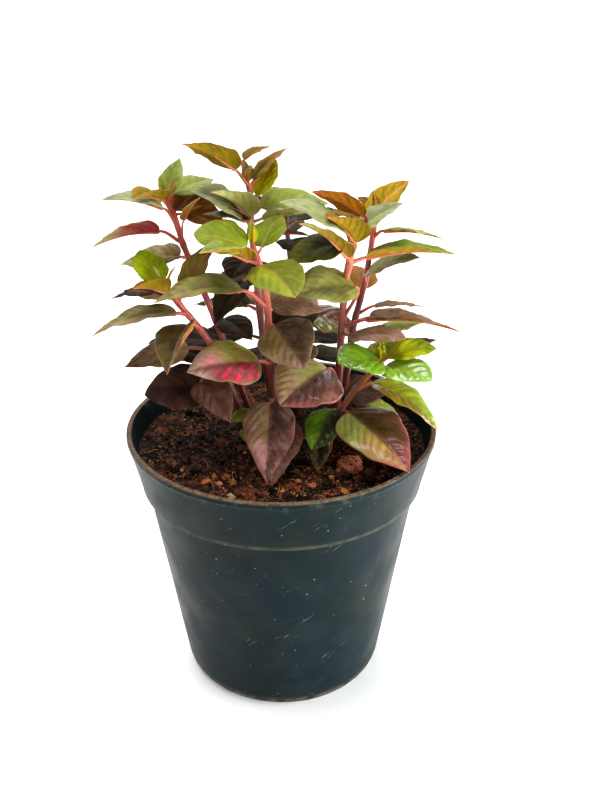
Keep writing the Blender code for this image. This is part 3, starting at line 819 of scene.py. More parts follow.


# Leaves: tones for both faces, and the blade's fine form

# upper faces: the base, the tip, the rim, the rib, the gloss, and on some the dust with painted sheen and
# the crease
upperTones = {
    "lime": ((112, 130, 8), (120, 134, 30), (136, 122, 48), (190, 134, 84), 0.5),
    "limeOlive": ((132, 140, 6), (118, 130, 36), (140, 122, 50), (186, 126, 84), 0.5),
    "vivid": ((160, 180, 2), (150, 176, 4), (140, 120, 30), (170, 140, 60), 0.4),
    "yellow": ((198, 206, 4), (160, 172, 4), (150, 112, 50), (200, 140, 60), 0.4, 0.02, 1.4),
    "sunny": ((186, 196, 4), (116, 134, 4), (130, 112, 40), (190, 128, 56), 0.6, 0.02, 1.3),
    "green": ((92, 118, 14), (112, 128, 34), (128, 100, 48), (168, 116, 74), 0.5),
    "tanGreen": ((92, 108, 16), (134, 130, 62), (132, 50, 44), (176, 104, 74), 0.5, 0.25),
    "pale": ((132, 146, 50), (128, 144, 72), (166, 146, 96), (186, 156, 104), 0.6),
    "frost": ((146, 158, 92), (122, 136, 90), (178, 160, 118), (194, 166, 120), 0.7, 0.22),
    "sage": ((132, 134, 52), (168, 176, 96), (140, 86, 58), (184, 116, 84), 0.5),
    "tan": ((92, 82, 30), (140, 138, 84), (150, 96, 72), (176, 108, 84), 0.5, 0.2),
    "olive": ((116, 100, 4), (130, 90, 16), (140, 70, 34), (180, 96, 58), 0.3),
    "amber": ((112, 92, 1), (114, 88, 4), (136, 72, 34), (186, 100, 58), 0.3),
    "bronze": ((86, 76, 24), (96, 84, 28), (124, 86, 58), (116, 78, 48), 0.4, 0.25),
    "foldGreen": ((126, 108, 50), (106, 80, 46), (130, 98, 66), (132, 96, 66), 0.45, 0.3),
    "mauve": ((100, 82, 30), (146, 92, 88), (168, 90, 80), (126, 70, 58), 0.5, 0.38, 1.3),
    "purple": ((142, 146, 62), (152, 116, 84), (160, 84, 66), (146, 74, 66), 0.8, 0.36, 1.3),
    "maroon": ((58, 34, 18), (46, 25, 13), (84, 38, 28), (68, 34, 24), 0.3, 0.06),
    "wine": ((76, 44, 28), (86, 56, 42), (116, 62, 50), (96, 50, 40), 0.35, 0.12),
    # dark olive for leaves deep in the plant: partly their own colour, partly painted shade
    "dark": ((42, 37, 12), (46, 32, 14), (56, 34, 22), (78, 54, 30), 0.3),
    "deep": ((50, 56, 4), (84, 92, 10), (80, 58, 32), (108, 84, 44), 0.3),
    "shade": ((150, 120, 70), (68, 46, 27), (90, 50, 34), (110, 66, 44), 0.35, 0.15),
    "plum": ((108, 82, 36), (130, 98, 68), (140, 92, 70), (134, 78, 56), 0.45, 0.35),
    "brown": ((124, 84, 10), (142, 88, 34), (146, 68, 44), (170, 88, 58), 0.3),
    "gold": ((134, 114, 2), (134, 106, 8), (150, 76, 38), (184, 98, 58), 0.3),
    "bright": ((98, 138, 8), (84, 126, 18), (118, 150, 36), (160, 164, 60), 1.0, 0.02, 2.3),
    "glow": ((134, 170, 46), (108, 150, 48), (140, 160, 50), (176, 170, 70), 1.0, 0.02, 2.3),
    "fresh": ((186, 206, 6), (164, 194, 18), (110, 140, 36), (140, 150, 44), 0.7, 0.02, 1.7),
    "strip": ((132, 108, 6), (112, 90, 8), (140, 130, 50), (170, 140, 70), 0.95, 0.02, 1.3),
    "twoGreen": ((84, 118, 8), (100, 136, 6), (80, 96, 24), (86, 104, 30), 0.7),
    "half": ((126, 142, 40), (150, 92, 62), (140, 66, 62), (150, 58, 54), 0.75, 0.12, 1.5),
    "splash": ((138, 164, 8), (178, 140, 104), (150, 110, 60), (186, 88, 90), 0.5, 0.25),
    "sheen": ((104, 112, 34), (92, 60, 30), (120, 78, 52), (160, 110, 74), 0.9),
    "dry": ((60, 46, 22), (82, 66, 40), (124, 106, 70), (110, 82, 52), 0.1),
}
# base and tip of the half to the left of a leaf that points away, where the halves differ: partly the leaf's
# own second tone, partly painted shade on the half turned from the light
otherHalvesAndShade = {
    "limeOlive": ((104, 112, 12), (102, 112, 28)),
    "bronze": ((96, 70, 40), (90, 66, 34)),
    "foldGreen": ((58, 46, 20), (72, 52, 28)),
    "mauve": ((62, 38, 26), (96, 54, 50)),
    "purple": ((84, 48, 36), (122, 68, 60)),
    "strip": ((146, 154, 22), (122, 154, 38)),
    "twoGreen": ((34, 40, 8), (40, 48, 8)),
    "half": ((72, 56, 12), (116, 52, 46)),
    "splash": ((96, 70, 14), (150, 92, 80)),
    "sheen": ((96, 58, 30), (88, 48, 30)),
}
# undersides: the base, the tip and the rib
underTones = {
    "gold": ((126, 110, 2), (132, 112, 10), (196, 108, 70)),
    "olive": ((138, 112, 16), (134, 126, 48), (200, 116, 82)),
    "russet": ((204, 138, 6), (192, 114, 42), (210, 96, 70)),
    "brown": ((122, 88, 14), (126, 92, 46), (196, 98, 72)),
    "burgundy": ((112, 38, 40), (140, 136, 88), (176, 78, 70)),
    "plum": ((96, 52, 38), (116, 58, 46), (160, 80, 66)),
    "dark": ((88, 78, 18), (80, 58, 24), (130, 74, 48)),
    "maroon": ((66, 30, 20), (80, 34, 28), (134, 60, 48)),
    "lime": ((156, 166, 10), (150, 160, 12), (214, 130, 56)),
    "green": ((96, 118, 16), (100, 112, 22), (160, 120, 60)),
    "pale": ((176, 178, 92), (180, 182, 112), (206, 156, 112)),
}
toneValues = ("main", "far", "rim", "rib", "gloss", "dustAndSheen", "crease")
plainTone = {"dustAndSheen": 0.02, "crease": 1.0}
# hot pink streaks between the side veins of one leaf, and a paler wash beside them
pinkSplash = {
    "colour": (234, 30, 98),
    "wash": (146, 28, 42),
    "sheen": (222, 130, 138),
    "mist": (176, 148, 142),
    "brow": (92, 60, 14),
    # where on the leaf each of them starts and ends, along it from 0 to 1 and across it from -1 to 1
    "along": (0.06, 0.20, 0.58, 0.80),
    "across": (0.04, 0.16, 0.84, 0.98),
    "sheenAt": (0.62, 0.20, 0.17, 0.34),
    "mistAlong": (0.55, 0.92),
    "browAlong": (0.52, 0.22),
    "browAcross": (0.80, 0.45),
    "browShare": 0.85,
    "mistShare": 0.7,
    "washShare": 0.85,
    "streaks": 5.9,
    "slant": 0.30,
    "firstStreak": 0.03,
}
blade = {
    "midribSteps": 120,
    "usualLength": 32,
    "rows": 50,
    "columns": 24,
    # how far rows crowd towards both ends, and columns towards the rim
    "crowdEnds": 0.45,
    "crowdRim": 0.85,
    # depth and number of the broad and the fine unevenness of the outline
    "sway": (0.025, 9),
    "nick": (0.015, 23),
    "thick": 0.42,
    "thinRim": 0.55,
    "shoulder": 0.55,
    "endWidth": 0.7,
    "foldEase": 0.25,
    "waves": 2.2,
    "wave": 0.016,
    "wavePhase": 1.9,
    "smallWaves": 5.3,
    "smallPhase": 2.3,
    "smallWave": 0.006,
    "bulge": 0.05,
    "curl": 0.05,
    "quilt": 0.60,
    "quiltLightAndShade": 0.11,
    "patches": 0.30,
    "patchesBelow": 0.09,
    "veinGap": 5.4,
    "fewestVeins": 4,
    "veinShift": 0.35,
    "veinSlant": 0.75,
    "veinArch": 0.7,
    "groove": 0.22,
    "grooveWidth": 0.55,
    "ridge": 0.30,
    "turn": 2.4,
}


def toneOf(name):
    return {**plainTone, **dict(zip(toneValues, upperTones[name]))}


def towards(colour, other, share):
    return colour + (other - colour) * np.asarray(share)[..., None]


def headingVector(heading, pitch):
    turn, rise = np.radians(heading), np.radians(pitch)
    level = np.cos(rise)
    climb = np.sin(rise) * np.ones_like(turn + rise)
    return np.stack([np.cos(turn) * level, np.sin(turn) * level, climb], axis=-1)


def midrib(base, leaf, along):
    # points and directions on the midrib at shares of its length
    steps = blade["midribSteps"]
    fine = np.linspace(0, 1, steps + 1)
    pitch = leaf["pitch"] + leaf["droop"] * (0.5 - fine)
    ahead = headingVector(leaf["heading"], pitch)
    path = np.zeros((steps + 1, 3))
    path[1:] = np.cumsum((ahead[1:] + ahead[:-1]) / 2, axis=0) * leaf["length"] / steps
    centre = np.stack([np.interp(along, fine, path[:, axis]) for axis in range(3)], axis=-1) + base
    pitch = leaf["pitch"] + leaf["droop"] * (0.5 - along)
    return centre, headingVector(leaf["heading"], pitch)


def leafAxes(leaf, ahead):
    turn, roll = math.radians(leaf["heading"]), math.radians(leaf["roll"])
    side = np.array([math.sin(turn), -math.cos(turn), 0.0]) * np.ones_like(ahead)
    upward = np.cross(side, ahead)
    return math.cos(roll) * side + math.sin(roll) * upward, math.cos(roll) * upward - math.sin(roll) * side


def leafHalfWidth(along, width, taper):
    widest = blade["shoulder"] / (blade["shoulder"] + taper)
    rise = (along / widest) ** blade["shoulder"]
    fall = np.maximum((1 - along) / (1 - widest), 0.0) ** taper
    return np.maximum(width / 2 * rise * fall, blade["endWidth"] / 2)


def bladeLift(leaf, u, v, width):
    # broad and small waves along the edge, a bulge on each half and a curled rim
    edge, half, phase = np.abs(v), np.sign(v), leaf["phase"]
    swing = np.sin(math.tau * blade["waves"] * u + blade["wavePhase"] * half + phase)
    lift = blade["wave"] * leaf["length"] * swing * edge**1.5 * np.sin(np.pi * u)
    swing = np.sin(math.tau * blade["smallWaves"] * u + blade["smallPhase"] * half + 2 * phase)
    lift = lift + blade["smallWave"] * leaf["length"] * swing * edge**3 * np.sin(np.pi * u)
    return lift + width * (blade["bulge"] * np.sin(np.pi * edge) - blade["curl"] * edge**4)


def bladeVein(leaf, u, v, reach):
    # side veins leave the midrib at a slant and arch forward, and each whole number is one vein
    pairs = max(round(leaf["length"] / blade["veinGap"]), blade["fewestVeins"])
    slant = reach / leaf["length"] * (blade["veinSlant"] + blade["veinArch"] * np.abs(v))
    return pairs * (u - slant) + blade["veinShift"] * (v > 0) + 0.12 * wander(u * 5, v * 3, leaf["phase"])


def bladeForm(base, leaf):
    share, ends = np.linspace(0, 1, blade["rows"] + 1), blade["crowdEnds"]
    along = (0.5 - 0.5 * np.cos(np.pi * share)) * ends + share * (1 - ends)
    across = np.linspace(-1, 1, blade["columns"] + 1)
    across = np.sign(across) * np.abs(across) ** blade["crowdRim"]
    centre, ahead = midrib(base, leaf, along)
    side, upward = leafAxes(leaf, ahead)
    u, v = np.meshgrid(along, across, indexing="ij")
    edge, half, phase = np.abs(v), np.sign(v), leaf["phase"]
    (sway, swayTurns), (nick, nickTurns) = blade["sway"], blade["nick"]
    uneven = 1 + sway * np.sin(swayTurns * u + half * 2 + phase)
    uneven = uneven + nick * np.sin(nickTurns * u + phase * 2 - half)
    width = leafHalfWidth(u, leaf["width"], leaf["taper"]) * uneven
    reach = edge * width
    fold = np.radians(leaf["fold"] * (1 - blade["foldEase"] * edge))
    outward = half * reach * np.cos(fold)
    raised = reach * np.sin(fold) + bladeLift(leaf, u, v, width)
    vein = bladeVein(leaf, u, v, reach)
    size = min(leaf["length"] / blade["usualLength"], 1.0) * toneOf(leaf["upper"])["crease"]
    between = 0.5 - 0.5 * np.cos(math.tau * vein)
    quilt = blade["quilt"] * size * between * np.sin(np.pi * edge) ** 0.7 * np.sin(np.pi * u) ** 0.5
    near = np.exp(-(reach / blade["grooveWidth"]) ** 2)
    surface = centre[:, None, :] + side[:, None, :] * outward[..., None]
    surface = surface + upward[:, None, :] * (raised + quilt)[..., None]
    normal = np.cross(np.gradient(surface, axis=1), np.gradient(surface, axis=0))
    normal /= np.maximum(np.linalg.norm(normal, axis=-1), 1e-9)[..., None]
    thin = blade["thick"] / 2 * (1 - blade["thinRim"] * edge**3)
    upper = surface + normal * (thin - blade["groove"] * size * near * (1 - u))[..., None]
    lower = surface - normal * (thin + blade["ridge"] * size * near * (1 - u))[..., None]
    # vein number, distance from the midrib and distance from the rim, for the finish
    lines = np.stack([vein, reach, (1 - edge) * width], axis=-1)
    return u, v, upper, lower, lines


def addSplash(colour, look, u, v, between, uneven):
    brow = easeBetween(*look["browAlong"], u) * easeBetween(*look["browAcross"], v)
    brow = brow * easeBetween(-0.05, 0.10, v)
    colour = towards(colour, screenColour(look["brow"]), look["browShare"] * brow)
    mist = easeBetween(*look["mistAlong"], u + 0.12 * uneven)
    colour = towards(colour, screenColour(look["mist"]), look["mistShare"] * mist)
    x, y, long, wide = look["sheenAt"]
    glow = np.exp(-(((u - x) / long) ** 2 + ((v - y) / wide) ** 2))
    glow = glow * np.clip(0.75 + 0.25 * between + 0.35 * wander(u * 13, v * 7, 9.0), 0, 1)
    colour = towards(colour, screenColour(look["sheen"]), glow)
    inside = 1.0
    for value, span in ((u, look["along"]), (-v, look["across"])):
        inside = inside * easeBetween(span[0], span[1], value) * easeBetween(span[3], span[2], value)
    colour = towards(colour, screenColour(look["wash"]), look["washShare"] * inside)
    wave = np.cos(math.tau * look["streaks"] * (u - look["slant"] * np.abs(v) - look["firstStreak"]))
    streak = easeBetween(0.25, 1.05, wave + 0.9 * wander(u * 15, v * 6, 4.0)) * easeBetween(0.12, 0.55, -v)
    return towards(colour, screenColour(look["colour"]), streak * inside)


def leafPaint(leaf, u, v, vein, upperFace):
    # the skin colour at every point of one face, and its rib and rim colours
    if upperFace:
        main, far, rim, rib = [screenColour(tone) for tone in upperTones[leaf["upper"]][:4]]
    else:
        main, far, rib = [screenColour(tone) for tone in underTones[leaf["under"]]]
        rim = rib
    phase = leaf["phase"] + leaf["height"]
    uneven = wander(u * 4 + phase, v * 2.2, phase)
    between = 0.5 - 0.5 * np.cos(math.tau * vein)
    share = easeBetween(0.25, 1.0, u + 0.22 * uneven + 0.10 * np.abs(v))
    colour = towards(main, far, share)
    # the other half's tone, partly its own colour and partly painted shade
    if upperFace and leaf["upper"] in otherHalvesAndShade:
        main, far = [screenColour(tone) for tone in otherHalvesAndShade[leaf["upper"]]]
        colour = towards(colour, towards(main, far, share), easeBetween(0.10, -0.10, v + 0.05 * uneven))
    patch = easeBetween(0.05, 0.80, wander(u * 7 + phase, v * 3.4, phase * 2) + 0.35 * np.abs(v) ** 3)
    colour = towards(colour, rim, patch * (blade["patches"] if upperFace else blade["patchesBelow"]))
    if upperFace and leaf["upper"] == "splash":
        colour = addSplash(colour, pinkSplash, u, v, between, uneven)
    # painted highlight on the bulges between the side veins and painted shade in the creases along them
    raised = blade["quiltLightAndShade"] * (between - 0.5) * np.sin(np.pi * np.abs(v)) ** 0.5
    colour = colour * (1 + 0.10 * uneven + 0.06 * wander(u * 11, v * 6, phase * 3) + raised)[..., None]
    return np.clip(colour, 0, 1).reshape(-1, 3), rib, rim


# how much the rib, the rim, the side veins and the fine net show, how high the veins stand, and the shine
leafFaces = {
    "leafTop": {"rib": 0.42, "rim": 0.42, "veins": 0.12, "net": 0.10, "veinHeight": -0.5, "shine": 0.09},
    "leafUnder": {"rib": 0.65, "rim": 0.22, "veins": 0.42, "net": 0.12, "veinHeight": 0.5, "shine": 0.05},
}
# the pale bloom on dusty leaves, partly dust and partly painted sheen, with paler veins, and the clear coat
# on glossy ones
leafBloomAndSheen = {
    "colour": (208, 170, 162),
    "veins": (226, 190, 176),
    "veinShare": 0.6,
    "coat": 0.9,
    "coatRoughness": 0.12,
}


def makeLeafSkin(name):
    look, bloomAndSheen = leafFaces[name], leafBloomAndSheen
    material, where = newMaterial(name)
    skin, rib, rim = [attribute(where, title) for title in ("skinColour", "ribColour", "rimColour")]
    gloss, dustAndSheen = attribute(where, "leafGloss", "Fac"), attribute(where, "leafDust", "Fac")
    lines = addNode("ShaderNodeSeparateXYZ", {0: attribute(where, "leafLines", "Vector")})
    wobble = times(minus(grain(where, 330.0), 0.5), 0.35)
    phase = sums("FRACT", plus(plus(lines[0], wobble), 0.5))
    vein = fade(sums("ABSOLUTE", minus(phase, 0.5)), 0.085, 0.015)
    vein = times(vein, fade(lines[2], 0.2, 2.4))
    net = fade(cells(where, 900.0, "DISTANCE_TO_EDGE")["Distance"], 0.13, 0.02)
    middle = fade(lines[1], 0.62, 0.16)
    margin = fade(lines[2], 0.55, 0.12)
    mottle = fade(grain(where, 130.0, 5.0), 0.3, 0.7, 0.84, 1.14)
    mottle = addNode("ShaderNodeCombineColor", {0: mottle, 1: mottle, 2: mottle})[0]
    fine = grain(where, 1300.0, 4.0)
    colour = mixColour(1.0, skin, mottle, "MULTIPLY")
    coat = {}
    if name == "leafUnder":
        colour = mixColour(times(vein, look["veins"]), colour, rib)
        colour = mixColour(times(net, look["net"]), colour, rib)
    else:
        darker = mixColour(0.55, colour, rim, "MULTIPLY")
        blotch = fade(grain(where, 210.0, 4.0), 0.50, 0.68, 0.0, 0.34)
        colour = mixColour(larger(blotch, times(vein, look["veins"])), colour, darker)
        paler = mixColour(0.35, rib, bloomAndSheen["veins"])
        colour = mixColour(times(vein, times(dustAndSheen, bloomAndSheen["veinShare"])), colour, paler)
        colour = mixColour(times(net, look["net"]), colour, darker)
        # pale powder in clouds: partly dust, partly painted sheen
        powder = fade(grain(where, 3200.0), 0.30, 0.70)
        cloud = fade(grain(where, 170.0, 5.0), 0.44, 0.62, 0.15, 1.0)
        colour = mixColour(times(powder, cloud, dustAndSheen), colour, bloomAndSheen["colour"])
        coat["Coat Weight"] = fade(gloss, 0.6, 1.0, 0.0, bloomAndSheen["coat"])
        coat["Coat Roughness"] = bloomAndSheen["coatRoughness"]
    colour = mixColour(times(middle, look["rib"]), colour, rib)
    colour = mixColour(times(margin, look["rim"]), colour, rim)
    height = plus(times(net, -0.25), times(fine, 0.30))
    return setShader(material, {
        "Base Color": colour,
        "Roughness": plus(fade(gloss, 0.0, 1.0, 0.68, 0.30), times(minus(fine, 0.5), 0.25)),
        "Specular IOR Level": look["shine"],
        "Normal": relief(plus(height, times(vein, look["veinHeight"])), 0.30, 0.8),
        **coat,
    })


# Stems: one piece for each, with its petioles, leaves, bud and hairs

stemForm = {
    "foot": 98.0,
    "collar": 128.5,
    "step": 1.2,
    "smoothing": 6,
    "budRise": 2.4,
    "budLength": 4.5,
    "budTip": 0.12,
    "sides": 20,
    "ridge": 0.035,
    "knot": 0.24,
    "knotLength": 1.7,
    "petiole": 1.02,
    "petioleTip": 0.72,
    "petioleSteps": 13,
    "petioleSides": 10,
    "petioleStart": 0.4,
    "petioleEnd": 0.3,
    "ribRun": 0.45,
    "ribTip": 0.16,
    "ribSteps": 8,
    "apexLength": 10.0,
    "apexWidth": 5.0,
    "apexPitch": 62.0,
    "hairLength": 1.1,
    "hairWidth": 0.05,
    "hairs": 170,
    "speckle": (236, 176, 150),
    "hairTones": ((232, 214, 200), (206, 178, 160)),
}


def makeStemSkin(look):
    material, where = newMaterial("stemSkin")
    skin, rib = attribute(where, "skinColour"), attribute(where, "ribColour")
    streak = streaks(where, 3.0, (620.0, 620.0, 60.0))
    spots = grain(where, 700.0, 3.0)
    colour = mixColour(fade(streak, 0.40, 0.62, 0.0, 0.70), skin, rib)
    return setShader(material, {
        "Base Color": mixColour(fade(spots, 0.64, 0.76, 0.0, 0.22), colour, look["speckle"]),
        "Roughness": fade(streak, 0.3, 0.7, 0.24, 0.40),
        "Specular IOR Level": 0.25,
        "Normal": relief(plus(streak, times(spots, 0.3)), 0.15, 0.6),
    })


def makeHairFinish(look):
    material, where = newMaterial("stemHair")
    return setShader(material, {"Base Color": mixColour(grain(where, 400.0), *look["hairTones"])})


# what the values in a stem's row for one leaf are
leafValues = ("height", "side", "reach", "lift", "heading", "pitch", "length", "width",
              "droop", "fold", "roll", "taper", "upper", "under")
noLines = (0, 9, 9)  # for stems, petioles and hairs, whose finishes don't read it
stemFinishes = [makeStemSkin(stemForm), makeLeafSkin("leafTop"), makeLeafSkin("leafUnder")]
stemFinishes.append(makeHairFinish(stemForm))


def addSkin(heap, points, faces, slot, skin, rib, rim, lines=noLines, gloss=0.5, dustAndSheen=0.0):
    joinInto(heap, points, faces, slot, skinColour=skin, ribColour=rib, rimColour=rim,
             leafLines=lines, leafGloss=gloss, leafDust=dustAndSheen)


def addBlade(heap, base, leaf):
    tone = toneOf(leaf["upper"])
    u, v, upper, lower, lines = bladeForm(base, leaf)
    rows, columns = u.shape
    vein = lines[..., 0]
    upper, lower, lines = upper.reshape(-1, 3), lower.reshape(-1, 3), lines.reshape(-1, 3)
    skin, rib, rim = leafPaint(leaf, u, v, vein, True)
    addSkin(heap, upper, gridFaces(rows, columns), 1, skin, rib, rim, lines, tone["gloss"], tone["dustAndSheen"])
    start = heap["count"]
    skin, rib, _ = leafPaint(leaf, u, v, vein, False)
    addSkin(heap, lower, gridFaces(rows, columns, flip=True), 2, skin, rib, rim, lines, 0.3)
    # the thin rim joins both faces
    index = np.arange(rows * columns).reshape(rows, columns)
    loop = np.concatenate([index[:, -1], index[-1, -2::-1], index[-2::-1, 0], index[0, 1:]])
    below, above = loop + start, loop + start - rows * columns
    rimFaces = np.stack([above[:-1], below[:-1], below[1:], above[1:]], axis=-1).tolist()
    heap["faces"] += rimFaces
    heap["slots"] += [1] * len(rimFaces)


def addPetiole(heap, start, base, leaf, stemColour):
    # the petiole runs on below the blade as its rib
    form, reach = stemForm, leaf["reach"]
    _, ahead = midrib(base, leaf, np.array([0.0]))
    first = start + headingVector(leaf["side"], leaf["lift"]) * form["petioleStart"] * reach
    second = base - ahead[0] * form["petioleEnd"] * reach
    share = np.linspace(0, 1, form["petioleSteps"])[:, None]
    left = 1 - share
    path = left**3 * start + 3 * left**2 * share * first + 3 * left * share**2 * second + share**3 * base
    centre, forward = midrib(base, leaf, np.linspace(0.03, form["ribRun"], form["ribSteps"]))
    _, upward = leafAxes(leaf, forward)
    size = min(leaf["length"] / blade["usualLength"], 1.15) ** 0.6
    ribRadii = np.linspace(form["petioleTip"], form["ribTip"], form["ribSteps"]) * size
    path = np.concatenate([path, centre - upward * (ribRadii * 0.85 + 0.1)[:, None]])
    radii = np.linspace(form["petiole"], form["petioleTip"], form["petioleSteps"]) * size
    points, faces = tube(path, np.concatenate([radii, ribRadii]), form["petioleSides"])
    blend = np.repeat(np.clip(np.linspace(0, 1.5, len(path)), 0, 1), form["petioleSides"])[:, None]
    skin = stemColour * (1 - blend) + screenColour(underTones[leaf["under"]][2]) * blend
    addSkin(heap, points, faces, 0, skin, skin * 0.72, skin)


def addHairs(heap, path, radii, seed):
    # short pale hairs, most of them round the upper joints
    form = stemForm
    random = np.random.default_rng(seed)
    points, faces = [], []
    for index in range(form["hairs"]):
        place = int(len(path) * (0.25 + 0.74 * random.random() ** 0.6))
        turn = random.random() * math.tau
        outward = np.array([math.cos(turn), math.sin(turn), 0.25 + 0.4 * random.random()])
        outward /= np.linalg.norm(outward)
        root = path[place] + outward * radii[place] * 0.9
        across = np.cross(outward, (0, 0, 1)) * form["hairWidth"] / 2
        upward = np.cross(across, outward)
        tip = root + outward * form["hairLength"] * (0.5 + 0.7 * random.random())
        points += [root + across, root - across * 0.5 + upward, root - across * 0.5 - upward, tip]
        first = index * 4
        faces += [[first + one, first + other, first + 3] for one, other in ((0, 1), (1, 2), (2, 0))]
    addSkin(heap, np.array(points), faces, 3, (1, 1, 1), (1, 1, 1), (1, 1, 1))


def stemLine(stem):
    # the bent middle line in even steps, and the corners that it was bent from
    form = stemForm
    x, y = stem["foot"]
    corners = np.array([(x, y, form["foot"]), (x, y, form["collar"]), *stem["points"]], float)
    heights = np.arange(form["foot"], corners[-1, 2] + form["budRise"], form["step"])
    sideways = [np.interp(heights, corners[:, 2], corners[:, axis]) for axis in (0, 1)]
    line = np.stack([*sideways, heights], axis=1)
    lean = (corners[-1] - corners[-2]) / (corners[-1, 2] - corners[-2, 2])
    above = heights > corners[-1, 2]
    line[above] = corners[-1] + lean * (heights[above] - corners[-1, 2])[:, None]
    for _ in range(form["smoothing"]):
        line[1:-1, :2] = (line[:-2, :2] + 2 * line[1:-1, :2] + line[2:, :2]) / 4
    return corners, line


def stemRadii(stem, corners, heights, leaves):
    # tapers upwards, swells at the joints and closes as a bud
    form = stemForm
    thickFoot, thickTop = stem["thick"]
    share = np.interp(heights, corners[:, 2], np.linspace(0, 1, len(corners)))
    plain = (thickFoot + (thickTop - thickFoot) * share) / 2
    radii = plain
    for leaf in leaves:
        near = np.exp(-((heights - leaf["height"] + 0.5) / form["knotLength"]) ** 2)
        radii = radii * (1 + form["knot"] * 0.5 * near)
    radii = np.minimum(radii, plain * (1 + form["knot"]))
    bud = np.clip((heights[-1] - heights) / form["budLength"], 0, 1) ** 0.7
    return radii * (form["budTip"] + (1 - form["budTip"]) * bud)


def growStem(name, stem, seed):
    form = stemForm
    corners, line = stemLine(stem)
    heights, top = line[:, 2], corners[-1, 2]
    leaves = [dict(zip(leafValues, row)) for row in stem["leaves"]]
    radii = stemRadii(stem, corners, heights, leaves)
    # darker towards the foot: partly the stem's own colour, partly painted shade under the leaves
    low, high = screenColour(stem["lowColour"]), screenColour(stem["highColour"])
    skin = towards(low, high, np.repeat(easeBetween(*stem["paler"], heights), form["sides"]))
    heap = newHeap()
    addSkin(heap, *tube(line, radii, form["sides"], form["ridge"]), 0, skin, skin * 0.6, skin)
    # the youngest pair stands at the tip
    for heading in (stem["apex"], stem["apex"] + 180):
        young = (top - 1.0, heading, 1.0, form["apexPitch"], heading, form["apexPitch"], form["apexLength"],
                 form["apexWidth"], 10, 20, 0, 1.0, *stem["apexTone"])
        leaves.append(dict(zip(leafValues, young)))
    for index, leaf in enumerate(leaves):
        leaf["phase"] = blade["turn"] * index
        start = np.array([np.interp(leaf["height"], corners[:, 2], corners[:, axis]) for axis in range(3)])
        base = start + leaf["reach"] * headingVector(leaf["side"], leaf["lift"])
        addPetiole(heap, start, base, leaf, towards(low, high, easeBetween(*stem["paler"], leaf["height"])))
        addBlade(heap, base, leaf)
    addHairs(heap, line[:-3], radii[:-3], seed)
    grown = newPiece(name, heap, stemFinishes)
    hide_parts(stem["node"])
    print(name, "grown:", len(leaves), "leaves,", len(grown.data.polygons), "faces")


frontStem = {
    "node": "leafy_stem_front",
    "foot": (-4, -3),
    "points": [(-4, -2, 150), (-5, -3, 174), (-6, -4, 199), (-8, -5, 214), (-11, -6, 222), (-12, -7, 228)],
    "thick": (4.4, 2.6),
    "apex": 100,
    "apexTone": ("lime", "lime"),
    "lowColour": (88, 32, 25),
    "highColour": (192, 92, 68),
    "paler": (150, 216),
    "leaves": [
        (221, -130, 8, 45, 176, 14, 24, 28, 20, 12, 14, 0.7, "lime", "olive"),
        (221, 20, 5, 55, 66, 28, 22, 19, 10, 15, 10, 1.0, "lime", "olive"),
        (218, -130, 7, 23, -130, 20, 32, 19, 25, 40, 0, 1.1, "pale", "olive"),
        (213, -90, 7, 45, -57, -13, 28, 26, 30, 12, -8, 0.8, "limeOlive", "olive"),
        (196, -142, 18, 40, -162, -2, 40, 26, 30, 22, 2, 1.1, "tanGreen", "burgundy"),
        (185, -62, 7, 35, -60, -22, 30, 27, 25, 10, -24, 1.0, "foldGreen", "brown"),
        (167, -125, 10.5, 30, -152, 3, 36, 30, 20, 4, 20, 1.0, "splash", "plum"),
        (149, -97, 6, 8, -92, -35, 43, 25, 20, 12, 0, 1.2, "mauve", "plum"),
        (143, -58, 9, -6, -97, -25, 39, 22, 20, 10, 0, 1.1, "wine", "plum"),
        (145, -142, 12, 5, -150, -14, 12, 11, 10, 10, 0, 0.8, "lime", "olive"),
        (137, -152, 15, 0, -60, -30, 13, 9, 10, 10, 0, 1.1, "pale", "pale"),
        (176, 40, 6, 10, 30, -10, 22, 16, 20, 10, 0, 1.0, "dark", "brown"),
    ],
}
growStem("front_stem", frontStem, 1)


